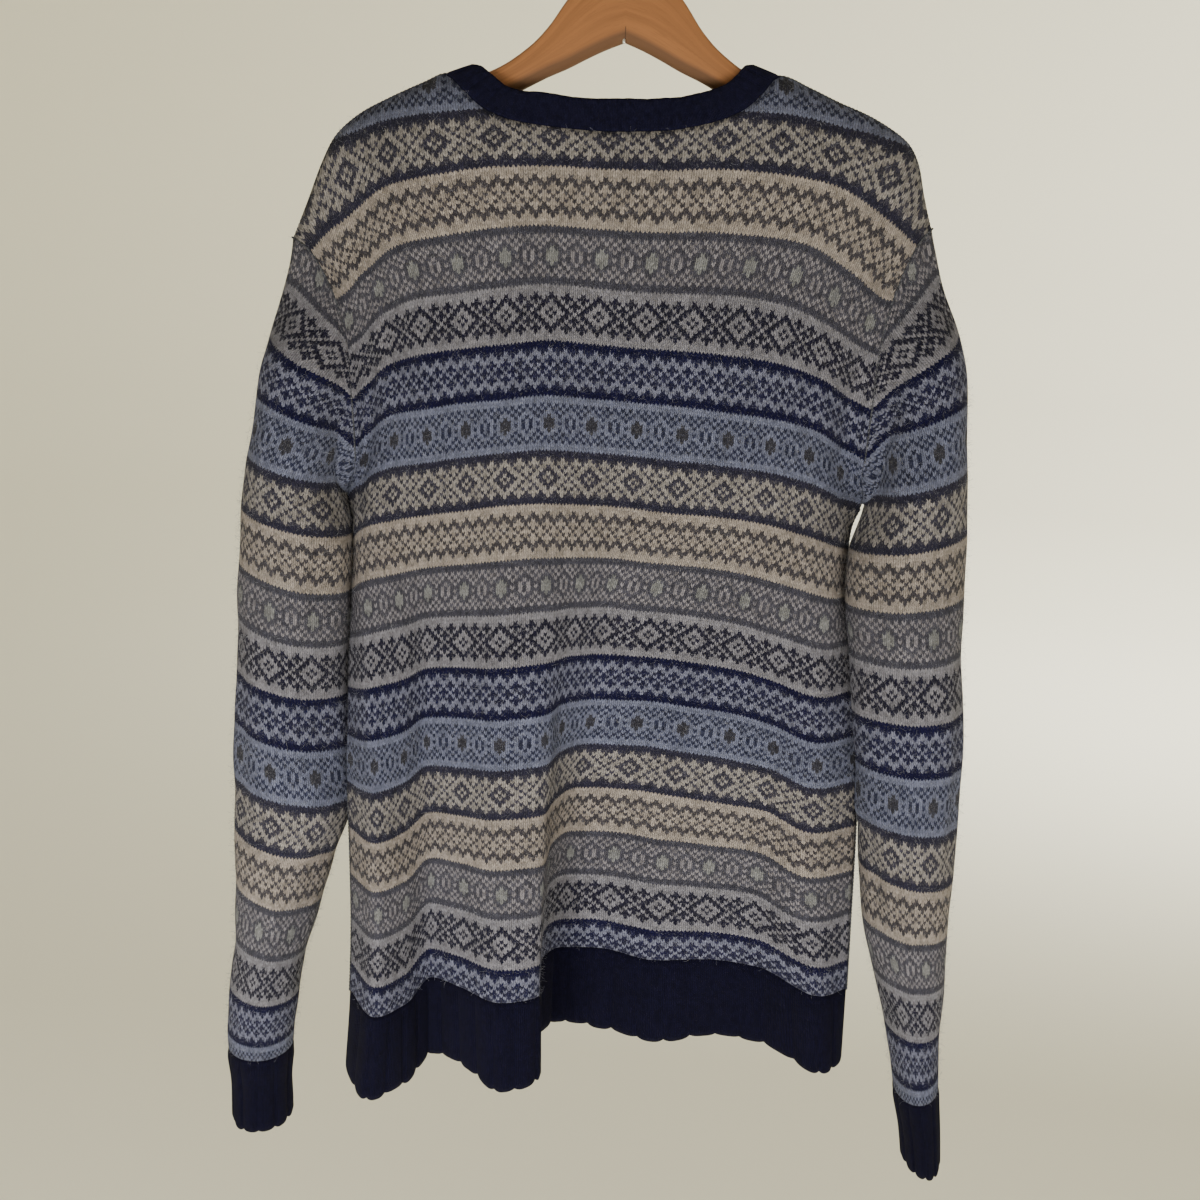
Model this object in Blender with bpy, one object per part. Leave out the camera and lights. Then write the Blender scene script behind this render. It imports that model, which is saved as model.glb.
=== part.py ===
"""A fair isle jumper of stranded knitting, hung on a contoured wooden hanger.

The frame is that of the hanger: the origin is the inside of the hook's top, +Z is up and
-Y is the side that the jumper's back faces. Tables are in millimetres and in knitted rows,
the built solids in metres.
"""

import math

import bpy
import numpy as np

MM = 0.001

# The cloth
WALL = 2.6  # thickness of the stranded knitting
RIB_WALL = 2.4  # thickness of a rib's furrow
RIB_RISE = 1.3  # how far a rib stands out of its furrow
SEAM_GAP = 0.4  # between two pieces along a seam
BAND_HEIGHT = 23.0  # neckband
HEM_RIBS = 29  # ribs across one hem piece
CUFF_POINTS = 2  # columns of a cuff to each column of its sleeve

# Rows, counted down from the first row of the yoke's first band
FIRST_LEVEL = 15
ARMPIT_ROW = 88.0
ARMPIT_FLARE = 7.0  # how far the cloth is drawn out at the armpit
FLARE_ROWS = 6.0
EDGE_TOP_ROW = 10.5
BODY_END_ROW = 250.0
HEM_END_ROW = 280.0
SLEEVE_END_ROW = 260.0
CUFF_END_ROW = 283.0

LEVELS = (15, 45, 75, 105, 135, 165, 195, 225, 250, 280)
# z of the row at the recess, one for each level
LEVEL_Z = (-196, -279, -358, -438, -517, -594, -671, -750, -818, -889)

# Key lines run down the back, each along one column of stitches. From left to right:
# edge, left lobe, its flank, valley, rise, middle lobe, its edge, tuck, recess, plain,
# swell, dip, right flank, right lobe, edge. One row of a table for each level.
BACK_ACROSS = (
    (-223, -211, -189, -163, -129, -89, -49, -12, 28, 68, 108, 145, 179, 205, 215),
    (-196, -184, -168, -143, -113, -81, -49, -14, 21, 55, 89, 121, 150, 178, 192),
    (-193, -181, -161, -138, -110, -81, -49, -17, 17, 51, 85, 116, 144, 172, 189),
    (-200, -189, -164, -137, -109, -81, -49, -19, 14, 48, 82, 114, 143, 168, 184),
    (-206, -181, -158, -139, -111, -83, -49, -25, -2, 33, 68, 102, 132, 163, 191),
    (-205, -178, -156, -140, -111, -82, -47, -33, -10, 27, 63, 100, 133, 165, 199),
    (-201, -173, -155, -137, -110, -80, -46, -38, -20, 18, 56, 93, 129, 164, 203),
    (-199, -172, -154, -136, -108, -77, -46, -44, -27, 9, 49, 87, 126, 168, 204),
    (-201, -174, -154, -136, -107, -76, -46, -47, -30, 8, 49, 92, 134, 177, 205),
    (-206, -180, -154, -136, -104, -74, -45, -49, -31, 7, 52, 98, 140, 184, 206),
)
BACK_DEPTH = (
    (-7, -14, -19, -24, -26, -26, -25, -24, -25, -26, -26, -25, -19, -12, -7),
    (-20, -23, -27, -30, -30, -28, -25, -22, -22, -24, -26, -30, -26, -22, -20),
    (-8, -19, -28, -32, -30, -27, -24, -20, -18, -20, -24, -28, -30, -20, -8),
    (-3, -24, -32, -31, -29, -27, -23, -18, -15, -17, -21, -26, -32, -26, -3),
    (-6, -40, -37, -28, -30, -32, -28, -18, -13, -15, -19, -23, -32, -40, -14),
    (-20, -54, -46, -32, -38, -44, -40, -24, -11, -14, -19, -22, -32, -46, -24),
    (-32, -68, -54, -37, -46, -56, -52, -30, -9, -14, -21, -23, -31, -52, -32),
    (-42, -80, -63, -42, -54, -70, -64, -34, -8, -14, -25, -24, -31, -58, -38),
    (-46, -86, -68, -45, -62, -80, -70, -36, -8, -15, -29, -25, -31, -60, -42),
    (-50, -92, -72, -47, -68, -89, -76, -38, -8, -17, -32, -25, -32, -62, -44),
)
BACK_DROP = (
    (61, 50, 33, 15, 7, 1, -1, 0, 0, -2, 0, 5, 20, 38, 45),
    (47, 35, 20, 9, 4, -1, -4, -2, 0, 0, 1, 6, 18, 34, 40),
    (40, 26, 13, 8, 3, 0, -4, -2, 0, 2, 5, 8, 14, 29, 38),
    (38, 21, 12, 7, 3, -1, -3, -2, 0, 3, 4, 7, 13, 22, 30),
    (34, 20, 14, 9, 6, 4, 1, 0, 0, 2, 4, 8, 14, 21, 24),
    (32, 24, 19, 12, 9, 8, 4, 0, 0, -1, 1, 4, 10, 18, 19),
    (30, 26, 23, 13, 11, 9, 6, 2, 0, -2, 0, 3, 5, 14, 16),
    (27, 23, 22, 11, 10, 9, 6, 1, 0, -3, -2, -1, 1, 9, 12),
    (22, 20, 20, 9, 7, 8, 6, -2, 0, -4, -3, -3, -1, 6, 10),
    (22, 19, 18, 7, 3, 11, 5, -2, 0, -2, 0, -3, -2, 4, 6),
)

# The shoulder line over the hanger: key line, row, x, z
SHOULDER = (
    (0.0, 10.5, -237, -248),
    (1.0, 7.5, -227, -222),
    (1.5, 3.0, -216, -194),
    (1.9, -0.5, -207, -178),
    (2.4, -3.5, -187, -163),
    (3.0, -5.0, -168, -153),
    (4.0, -8.5, -139, -140),
    (4.28, -10.0, -127, -135),
    (7.0, -10.0, -8, -131),
    (9.95, -10.0, 110, -130),
    (10.5, -8.0, 133, -138),
    (11.0, -6.5, 152, -146),
    (11.6, -4.0, 179, -156.5),
    (12.2, 0.0, 206, -174),
    (12.6, 3.5, 213, -186.5),
    (13.0, 7.0, 218, -205),
    (14.0, 10.5, 226, -229),
)
# Where the neckline cuts the rows: key line, row of the back, row of the front
NECKLINE = (
    (4.28, -10.0, -10.0),
    (4.40, -8.7, -7.0),
    (4.60, -5.0, 1.0),
    (4.95, 0.5, 8.0),
    (5.50, 3.8, 15.5),
    (6.30, 5.3, 20.0),
    (7.10, 5.6, 21.5),
    (7.90, 5.2, 20.0),
    (8.70, 3.6, 15.5),
    (9.30, 0.0, 8.0),
    (9.65, -5.0, 1.0),
    (9.83, -8.7, -7.0),
    (9.95, -10.0, -10.0),
)
# Depth of the armhole's two sides: row, back, front
ARMHOLE = (
    (10.5, 0, 0),
    (15, -9, 10),
    (30, -17, 19),
    (45, -20, 23),
    (60, -20, 20),
    (76, -18, 12),
    (84, -12, 5),
    (88, -3, -3),
)
# Depth of the front's middle: row, y
FRONT_DEPTH = ((15, 23), (45, 31), (75, 34), (105, 34), (165, 30), (225, 25), (280, 23))
FRONT_YOKE_DEPTH = 23.0
# Folds of the front: key line, half width in key lines, depth at the hem, first row
FRONT_FOLDS = (
    (2.9, 1.0, 15, 70),
    (5.4, 0.8, -6, 110),
    (7.9, 1.1, 11, 90),
    (10.9, 0.9, 17, 60),
)
# Columns of a panel's mesh, as key lines
PANEL_COLUMNS = (
    0, 0.45, 0.9, 1.4, 1.9, 2.4, 3.0, 3.5, 4.0, 4.28, 4.4, 4.6, 4.95, 5.5, 6.0, 6.35, 6.7,
    7.1, 7.55, 8.0, 8.35, 8.7, 9.0, 9.3, 9.65, 9.83, 9.95, 10.5, 11.0, 11.6, 12.2, 12.7, 13.1,
    13.55, 14,
)
# Rows of a panel's mesh where it meets the sleeve, then below
ARMHOLE_ROWS = (10.5, 14.5, 19, 24, 30, 37, 45, 54, 65, 76, 84, 88)
LOWER_ROWS = (94, 104, 117, 131, 143, 155, 167, 179, 191, 203, 215, 227, 239, 250)
# The sleeve's own row and the way round it (degrees from its outer side) at those rows
CAP_ROWS = (33, 33.3, 34, 35.2, 37, 40.5, 46, 54, 65, 76, 84, 88)
CAP_TURN = (0, 24, 47, 72, 98, 124, 143, 154, 160, 165, 171, 180)

# Sleeves: row, middle x, half width, middle y, half depth, z, rise of the outer side
LEFT_SLEEVE = (
    (33, -226, 24, -4, 28, -279, 25),
    (45, -227.5, 26.5, -5, 32, -309, 20),
    (60, -231.5, 30.5, -6, 38, -345, 15),
    (75, -236, 32, -8, 43, -383, 11),
    (90, -241.8, 33.2, -10, 46, -424, 8),
    (105, -241.7, 37.8, -12, 47, -463, 8),
    (120, -244.6, 38.2, -13, 47, -506, 7),
    (135, -247.3, 38.5, -14, 46, -548, 7),
    (150, -248.8, 39.8, -14, 45, -590, 6),
    (165, -250.3, 42.3, -14, 44, -633, 7),
    (180, -250.5, 44.5, -14, 43, -679, 7),
    (195, -259, 38, -14, 42, -725, 6),
    (210, -266, 33, -14, 39, -773, 4),
    (225, -275, 27, -14, 36, -822, 4),
    (240, -282.5, 26.5, -14, 32, -866, 3),
    (255, -287, 26, -14, 28, -907, 1),
    (260, -287.5, 25.5, -14, 27, -921, 0),
    (272, -288, 23, -14, 25, -952, 0),
    (283, -288.5, 23.5, -14, 27, -984, 0),
)
RIGHT_SLEEVE = (
    (33, 216.5, 24, -4, 28, -262, 25),
    (45, 218, 24.5, -5, 32, -294, 22),
    (60, 228.5, 27.5, -6, 38, -333, 17),
    (75, 233, 31, -8, 43, -373, 10),
    (90, 234.8, 34.8, -10, 46, -420, 7),
    (105, 232, 41.5, -13, 47, -464, 6),
    (120, 232.9, 42.1, -16, 47, -508, 5),
    (135, 236.6, 40.4, -19, 46, -550, 4),
    (150, 240.3, 39.2, -22, 45, -592, 4),
    (165, 243.3, 38.2, -26, 44, -633, 2),
    (180, 245, 38, -30, 42, -681, -2),
    (195, 247, 36, -34, 40, -728, -5),
    (210, 250.5, 31.5, -37, 38, -776, -3),
    (225, 258, 25, -40, 35, -823, -1),
    (240, 264.5, 19.5, -42, 32, -867, 1),
    (255, 270.3, 16, -43, 30, -911, 3),
    (260, 272, 15.5, -43, 29, -924, 2),
    (272, 277.5, 14, -44, 27, -956, 1),
    (283, 281.7, 13.5, -44, 26, -987, 0),
)
SLEEVE_STEPS = (0, 0.014, 0.035, 0.07, 0.115, 0.165, 0.21, 0.26, 0.31, 0.365, 0.42, 0.475,
                0.53, 0.585, 0.64, 0.695, 0.75, 0.805, 0.86, 0.91, 0.955, 1)
MITRE_LIMIT = 0.75
CAP_BLEND_ROWS = (42.0, 6.0)  # at the outer side, at the armpit
TURN_BLEND_ROWS = 60.0

# The wooden bar of the hanger: distance from the middle, top z, bottom z, depth
HANGER_BAR = (
    (0, -60.0, -110, 13.0),
    (13, -60.5, -115, 13.0),
    (26, -68.0, -121, 13.0),
    (40, -83.0, -128, 13.0),
    (54, -102.0, -134, 13.0),
    (66, -114.0, -140, 13.0),
    (90, -129.5, -152, 12.0),
    (118, -139.5, -165, 11.0),
    (139, -146.0, -173, 11.0),
    (168, -160.0, -185, 11.0),
    (188, -173.0, -193, 10.0),
    (197, -181.0, -196, 8.5),
)
BAR_BEVEL = 3.0
BAR_TILT = 4.0  # how much wider than the top edge's bevel the lower edge's is
# The wire hook: x, z of its middle line, from the bar to its tip
HOOK_LINE = (
    (0, -59.6), (0, -54), (0.8, -48), (5.5, -42.6), (12.5, -38.0), (18.5, -31.8),
    (21.6, -24.0), (21.7, -16.0), (18.4, -8.4), (12.4, -2.5), (4.4, 1.3), (-4.4, 1.3),
    (-12.4, -2.5), (-18.4, -8.4), (-21.6, -16.0), (-21.8, -23.5), (-20.4, -29.5),
)
WIRE_RADIUS = 1.8
COLLAR_RADIUS = 4.5
COLLAR_HEIGHT = 2.2

# Material of each piece: red, green, blue, roughness, metallic
MATERIALS = {
    "knit": (0.30, 0.30, 0.31, 0.95, 0.0),
    "rib_knit": (0.022, 0.024, 0.045, 0.95, 0.0),
    "hanger_wood": (0.52, 0.27, 0.12, 0.45, 0.0),
    "hook_wire": (0.70, 0.70, 0.68, 0.30, 1.0),
}


def end_slopes(steps, rises):
    """Slopes of a shape-keeping cubic through points, one for each point."""
    slopes = np.zeros((len(steps) + 1,) + rises.shape[1:])
    wide = steps.reshape((-1,) + (1,) * (rises.ndim - 1))
    before, after = rises[:-1], rises[1:]
    heavy = 2 * wide[1:] + wide[:-1]
    light = wide[1:] + 2 * wide[:-1]
    same_way = before * after > 0
    safe_before = np.where(same_way, before, 1.0)
    safe_after = np.where(same_way, after, 1.0)
    mean = (heavy + light) / (heavy / safe_before + light / safe_after)
    slopes[1:-1] = np.where(same_way, mean, 0.0)
    slopes[0] = rises[0]
    slopes[-1] = rises[-1]
    return slopes


def curve(knots, values, at):
    """Values between knots, along a shape-keeping cubic."""
    knots = np.asarray(knots, float)
    values = np.asarray(values, float)
    at = np.clip(np.asarray(at, float), knots[0], knots[-1])
    steps = np.diff(knots)
    shape = (-1,) + (1,) * (values.ndim - 1)
    slopes = end_slopes(steps, np.diff(values, axis=0) / steps.reshape(shape))
    cell = np.clip(np.searchsorted(knots, at, side="right") - 1, 0, len(steps) - 1)
    wide = steps[cell].reshape(shape)
    part = ((at - knots[cell]) / steps[cell]).reshape(shape)
    start = (1 + 2 * part) * (1 - part) ** 2 * values[cell]
    end = part**2 * (3 - 2 * part) * values[cell + 1]
    lean_start = part * (1 - part) ** 2 * wide * slopes[cell]
    lean_end = part**2 * (part - 1) * wide * slopes[cell + 1]
    return start + end + lean_start + lean_end


def ease(part):
    """A soft step from 0 to 1."""
    part = np.clip(part, 0.0, 1.0)
    return part * part * (3 - 2 * part)


def across_key_lines(table, at):
    """A level table read at key lines: one row for each level."""
    return curve(np.arange(15), np.asarray(table, float).T, at).T


def shoulder_at(key):
    """Row, x and z of the shoulder line at one key line."""
    table = np.asarray(SHOULDER, float)
    return curve(table[:, 0], table[:, 1:], [key])[0]


def edge_depth(side, rows):
    """Depth of a panel's edge, back or front, from the armhole down."""
    table = np.asarray(ARMHOLE, float)
    column = 1 if side == "back" else 2
    return np.interp(rows, table[:, 0], table[:, column])


def round_over(rows, top_row):
    """How far the cloth has turned over the shoulder line, 0 to 1."""
    part = np.clip((rows - top_row) / (FIRST_LEVEL - top_row), 0.0, 1.0)
    return np.sqrt(1 - (1 - part) ** 2)


def back_column(key, rows):
    """Points of the back along one key line, at the given rows."""
    top_row, top_x, top_z = shoulder_at(key)
    level_x = across_key_lines(BACK_ACROSS, [key])[:, 0]
    level_y = across_key_lines(BACK_DEPTH, [key])[:, 0]
    level_z = np.asarray(LEVEL_Z, float) - across_key_lines(BACK_DROP, [key])[:, 0]
    knots = np.concatenate([[top_row], LEVELS])
    x = curve(knots, np.concatenate([[top_x], level_x]), rows)
    z = curve(knots, np.concatenate([[top_z], level_z]), rows)
    below = curve(LEVELS, level_y, rows)
    y = np.where(rows < FIRST_LEVEL, level_y[0] * round_over(rows, top_row), below)
    near_edge = float(ease(1 - min(key, 14 - key) / 0.9))
    flare = ARMPIT_FLARE * near_edge * np.exp(-(((rows - ARMPIT_ROW) / FLARE_ROWS) ** 2))
    x = x + (flare if key > 7 else -flare)
    hold = near_edge * ease((ARMPIT_ROW + 12 - rows) / 12)
    y = y * (1 - hold) + edge_depth("back", rows) * hold
    return np.stack([x, y, z], axis=1)


def front_column(key, rows):
    """Points of the front along one key line: the back's above, its own form below."""
    top_row = shoulder_at(key)[0]
    twin = back_column(key, rows)
    left, right = back_column(0.0, rows), back_column(14.0, rows)
    share = key / 7.0 - 1
    turn = share * math.pi / 2
    own = ease((rows - 80.0) / 35.0)
    middle, half = (left[:, 0] + right[:, 0]) / 2, (right[:, 0] - left[:, 0]) / 2
    reach = math.copysign(abs(math.sin(turn)) ** 0.8, share)
    x = twin[:, 0] + (middle + half * reach - twin[:, 0]) * own
    edge = left if key < 7 else right
    side_y = np.where(rows < ARMPIT_ROW, edge_depth("front", rows), edge[:, 1])
    depth = np.interp(rows, *np.asarray(FRONT_DEPTH, float).T)
    upper_rise = 1 - abs(share) ** np.interp(rows, (15, 40), (6.0, 2.5))
    rise = upper_rise + (abs(math.cos(turn)) ** 0.55 - upper_rise) * own
    y = side_y + (depth - side_y) * rise
    for fold_key, fold_half, fold_depth, start_row in FRONT_FOLDS:
        strength = ease((rows - start_row) / (HEM_END_ROW - start_row))
        y = y + fold_depth * strength * math.exp(-(((key - fold_key) / fold_half) ** 2))
    side_drop = np.interp(rows, LEVELS, LEVEL_Z) - edge[:, 2]
    own_z = np.interp(rows, LEVELS, LEVEL_Z) - side_drop * abs(math.sin(turn)) ** 3
    z = twin[:, 2] + (own_z - twin[:, 2]) * own
    brim = edge_depth("front", FIRST_LEVEL)
    yoke_y = brim + (FRONT_YOKE_DEPTH - brim) * (1 - abs(share) ** 6)
    y = np.where(rows < FIRST_LEVEL, yoke_y * round_over(rows, top_row), y)
    return np.stack([x, y, z], axis=1)


def first_row(side, key):
    """The row that a panel's column starts at: the shoulder line or the neckline."""
    table = np.asarray(NECKLINE, float)
    if table[0, 0] < key < table[-1, 0]:
        column = 1 if side == "back" else 2
        return float(curve(table[:, 0], table[:, column], [key])[0])
    return float(shoulder_at(key)[0])


def panel_rows(side, key):
    """The mesh's rows along one column of a panel."""
    edge_rows = np.array(ARMHOLE_ROWS + LOWER_ROWS)
    part = (edge_rows - EDGE_TOP_ROW) / (BODY_END_ROW - EDGE_TOP_ROW)
    top = first_row(side, key)
    return top + part * (BODY_END_ROW - top)


def panel_grid(side):
    """Middle surface of the back or the front, rows by columns."""
    column = back_column if side == "back" else front_column
    lines = [column(float(key), panel_rows(side, key)) for key in PANEL_COLUMNS]
    return np.stack(lines, axis=1)


def sleeve_ring(table, row, turn, outer_side):
    """Points round a sleeve at one row, turn in radians from its outer side."""
    values = curve(np.asarray(table, float)[:, 0], np.asarray(table, float)[:, 1:], [row])[0]
    middle_x, half_width, middle_y, half_depth, z, rise = values
    return np.array([
        middle_x + outer_side * half_width * math.cos(turn),
        middle_y - half_depth * math.sin(turn),
        z + rise * math.cos(turn),
    ])


def sleeve_grid(table, outer_side, armhole):
    """Middle surface of a sleeve, from its armhole's points to its end."""
    count = len(armhole)
    half = count // 2
    lines = []
    for index in range(count):
        near = index if index <= half else count - index
        seam_turn = math.radians(CAP_TURN[near])
        if index > half:
            seam_turn = 2 * math.pi - seam_turn
        even_turn = 2 * math.pi * index / count
        start_row = CAP_ROWS[near]
        start = sleeve_ring(table, start_row, seam_turn, outer_side)
        offset = armhole[index] - start
        blend_rows = np.interp(near / half, (0, 1), CAP_BLEND_ROWS)
        line = []
        for step in SLEEVE_STEPS:
            row = start_row + step * (SLEEVE_END_ROW - start_row)
            turned = float(ease((row - start_row) / TURN_BLEND_ROWS))
            turn = seam_turn + (even_turn - seam_turn) * turned
            held = 1 - float(ease((row - start_row) / blend_rows))
            line.append(sleeve_ring(table, row, turn, outer_side) + offset * held)
        lines.append(line)
    return np.stack([np.array(line) for line in lines], axis=1)


def tube_grid(table, outer_side, rows, turns):
    """Middle surface of a plain stretch of sleeve or cuff."""
    return np.array([
        [sleeve_ring(table, row, turn, outer_side) for turn in turns] for row in rows
    ])


def neckband_grid(back, front, steps):
    """Middle surface of the neckband, up from the neckline."""
    first, last = PANEL_COLUMNS.index(4.28), PANEL_COLUMNS.index(9.95)
    loop = np.concatenate([back[0, first:last], front[0, last:first:-1]])
    middle = (back[0, first, 0] + back[0, last, 0]) / 2
    half = (back[0, last, 0] - back[0, first, 0]) / 2
    sideways = (loop[:, 0] - middle) / half
    share = np.abs(sideways) ** 2.2
    lean = np.stack([-21 * np.sign(sideways) * share, -loop[:, 1] * 0.25, 21 - 13.5 * share], 1)
    lean *= (BAND_HEIGHT / np.linalg.norm(lean, axis=1))[:, None]
    return np.stack([loop + lean * step for step in steps])


def triangles_of(shape, closed):
    """Triangles over a grid of points, as index triples."""
    rows, columns = shape
    wide = columns if closed else columns - 1
    faces = []
    for row in range(rows - 1):
        for column in range(wide):
            after = (column + 1) % columns
            a, b = row * columns + column, row * columns + after
            c, d = (row + 1) * columns + after, (row + 1) * columns + column
            faces += [(a, b, c), (a, c, d)] if (row + column) % 2 else [(a, b, d), (b, c, d)]
    return np.array(faces)


def grid_normals(grid, closed):
    """Unit normals of a grid's points."""
    points = grid.reshape(-1, 3)
    faces = triangles_of(grid.shape[:2], closed)
    a, b, c = (points[faces[:, k]] for k in range(3))
    facing = np.cross(b - a, c - a)
    total = np.zeros_like(points)
    for k in range(3):
        np.add.at(total, faces[:, k], facing)
    return total.reshape(grid.shape)


def unit(vectors):
    """Vectors made one long."""
    return vectors / np.linalg.norm(vectors, axis=-1, keepdims=True)


def seam_key(points):
    """Points as whole hundredths of a millimetre, the same wherever pieces meet."""
    return [tuple(row) for row in np.round(points.reshape(-1, 3) * 100).astype(int)]


def shared_normals(grids, signs, armpits):
    """Normals out of the garment, shared where pieces meet and mitred to keep the wall."""
    own = {}
    totals = {}
    for name, (grid, closed) in grids.items():
        own[name] = unit(grid_normals(grid, closed)) * signs[name]
        for key, normal in zip(seam_key(grid), own[name].reshape(-1, 3)):
            totals[key] = totals.get(key, 0) + normal
    for key in seam_key(armpits):
        totals[key] = np.array([0.0, 0.0, -1.0])
    result = {}
    for name, (grid, _) in grids.items():
        found = unit(np.array([totals[key] for key in seam_key(grid)])).reshape(grid.shape)
        level = np.clip((found * own[name]).sum(axis=2, keepdims=True), MITRE_LIMIT, 1.0)
        result[name] = found / level
    return result


def line_directions(line, closed):
    """The way that a line of points runs at each of them."""
    if closed:
        return np.roll(line, -1, axis=0) - np.roll(line, 1, axis=0)
    return np.gradient(line, axis=0)


def drawn_in(grid, closed, sides):
    """A grid whose named edges are moved in, square to the seam, by half a seam gap."""
    places = {
        "top": (np.s_[0], np.s_[1]),
        "bottom": (np.s_[-1], np.s_[-2]),
        "left": (np.s_[:, 0], np.s_[:, 1]),
        "right": (np.s_[:, -1], np.s_[:, -2]),
    }
    normals = unit(grid_normals(grid, closed))
    moved = grid.copy()
    for side in sides:
        edge, inner = places[side]
        along = line_directions(grid[edge], closed)
        square = unit(np.cross(normals[edge], along))
        way = np.sign(np.einsum("ij,ij->i", square, grid[inner] - grid[edge]))
        moved[edge] += square * way[:, None] * SEAM_GAP / 2
    return moved


def shell(grid, normals, outward, inward, closed):
    """Points and faces of a closed wall about a grid of points."""
    outer = (grid + normals * outward).reshape(-1, 3)
    inner = (grid - normals * inward).reshape(-1, 3)
    rows, columns = grid.shape[:2]
    size = rows * columns
    front = triangles_of((rows, columns), closed)
    back = front[:, ::-1] + size
    loops = []
    top = list(range(columns))
    bottom = [(rows - 1) * columns + column for column in range(columns)]
    if closed:
        loops = [top + top[:1], (bottom + bottom[:1])[::-1]]
    else:
        right = [row * columns + columns - 1 for row in range(rows)]
        left = [row * columns for row in range(rows)][::-1]
        loops = [top + right[1:] + bottom[::-1][1:] + left[1:]]
    # Both pieces at a seam split its rim the same way, so that their rims lie parallel.
    order = grid.reshape(-1, 3) @ np.array([0.37, 0.11, 1.0])
    rim = []
    for loop in loops:
        for a, b in zip(loop, loop[1:]):
            if order[a] > order[b]:
                rim += [(b, a, a + size), (b, a + size, b + size)]
            else:
                rim += [(b, a, b + size), (a, a + size, b + size)]
    return np.concatenate([outer, inner]), np.concatenate([front, back, np.array(rim)])


def volume_of(points, faces):
    """Signed volume of a closed mesh."""
    a, b, c = (points[faces[:, k]] for k in range(3))
    return float(np.einsum("ij,ij->i", a, np.cross(b, c)).sum() / 6)


def material_of(name):
    """One plain material."""
    red, green, blue, roughness, metallic = MATERIALS[name]
    material = bpy.data.materials.new(name)
    material.use_nodes = True
    surface = material.node_tree.nodes["Principled BSDF"]
    surface.inputs["Base Color"].default_value = (red, green, blue, 1.0)
    surface.inputs["Roughness"].default_value = roughness
    surface.inputs["Metallic"].default_value = metallic
    return material


def add_solid(name, points, faces, material):
    """One named object from points in millimetres, facing outward."""
    if volume_of(points, faces) < 0:
        faces = faces[:, ::-1]
    mesh = bpy.data.meshes.new(name)
    mesh.from_pydata((points * MM).tolist(), [], faces.tolist())
    mesh.validate()
    mesh.update()
    mesh.materials.append(material)
    body = bpy.data.objects.new(name, mesh)
    bpy.context.scene.collection.objects.link(body)
    return body


def facing_out(grids):
    """Which way each grid's normals must be taken to point out of the garment."""
    signs = {}
    for name, (grid, closed) in grids.items():
        normals = unit(grid_normals(grid, closed))
        if name in ("back", "front"):
            want = -1 if name == "back" else 1
            middle = normals[grid.shape[0] // 2, :, 1].mean()
            signs[name] = 1 if middle * want > 0 else -1
        else:
            centre = grid.mean(axis=1, keepdims=True)
            signs[name] = 1 if ((grid - centre) * normals).sum() > 0 else -1
    return signs


def body_grids():
    """Middle surfaces of the panels, sleeves and neckband, each with its seams shared."""
    back, front = panel_grid("back"), panel_grid("front")
    armpit = len(ARMHOLE_ROWS) - 1
    front[armpit:, 0], front[armpit:, -1] = back[armpit:, 0], back[armpit:, -1]
    for column, key in enumerate(PANEL_COLUMNS):
        if not NECKLINE[0][0] < key < NECKLINE[-1][0]:
            front[0, column] = back[0, column]
    grids = {"back": (back, False), "front": (front, False)}
    for name, table, side, column in (
        ("sleeve_left", LEFT_SLEEVE, -1, 0),
        ("sleeve_right", RIGHT_SLEEVE, 1, -1),
    ):
        going_down = back[: armpit + 1, column]
        coming_up = front[armpit - 1 : 0 : -1, column]
        armhole = np.concatenate([going_down, coming_up])
        grids[name] = (sleeve_grid(table, side, armhole), True)
    grids["neckband"] = (neckband_grid(back, front, (0, 0.36, 0.7, 1.0)), True)
    return grids


def add_cloth(grids, normals, material):
    """The panels, the sleeves and the neckband."""
    edges = {
        "back": ("top", "bottom", "left", "right"),
        "front": ("top", "bottom", "left", "right"),
        "sleeve_left": ("top", "bottom"),
        "sleeve_right": ("top", "bottom"),
        "neckband": ("top",),
    }
    for name, (grid, closed) in grids.items():
        solid_grid = drawn_in(grid, closed, edges[name])
        slot = "rib_knit" if name == "neckband" else "knit"
        points, faces = shell(solid_grid, normals[name], WALL / 2, WALL / 2, closed)
        add_solid(name, points, faces, material[slot])


def between_columns(line, positions):
    """Points or normals read along a line of columns, straight between them."""
    count = len(line)
    lower = np.clip(np.floor(positions).astype(int), 0, count - 2)
    part = (positions - lower)[:, None]
    return line[lower] * (1 - part) + line[lower + 1] * part


def rib_profile(count):
    """Height of the ribs over a run of columns, four columns to a rib."""
    return np.resize(np.array([0.0, 1.0, 1.0, 0.0]), count)


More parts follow.
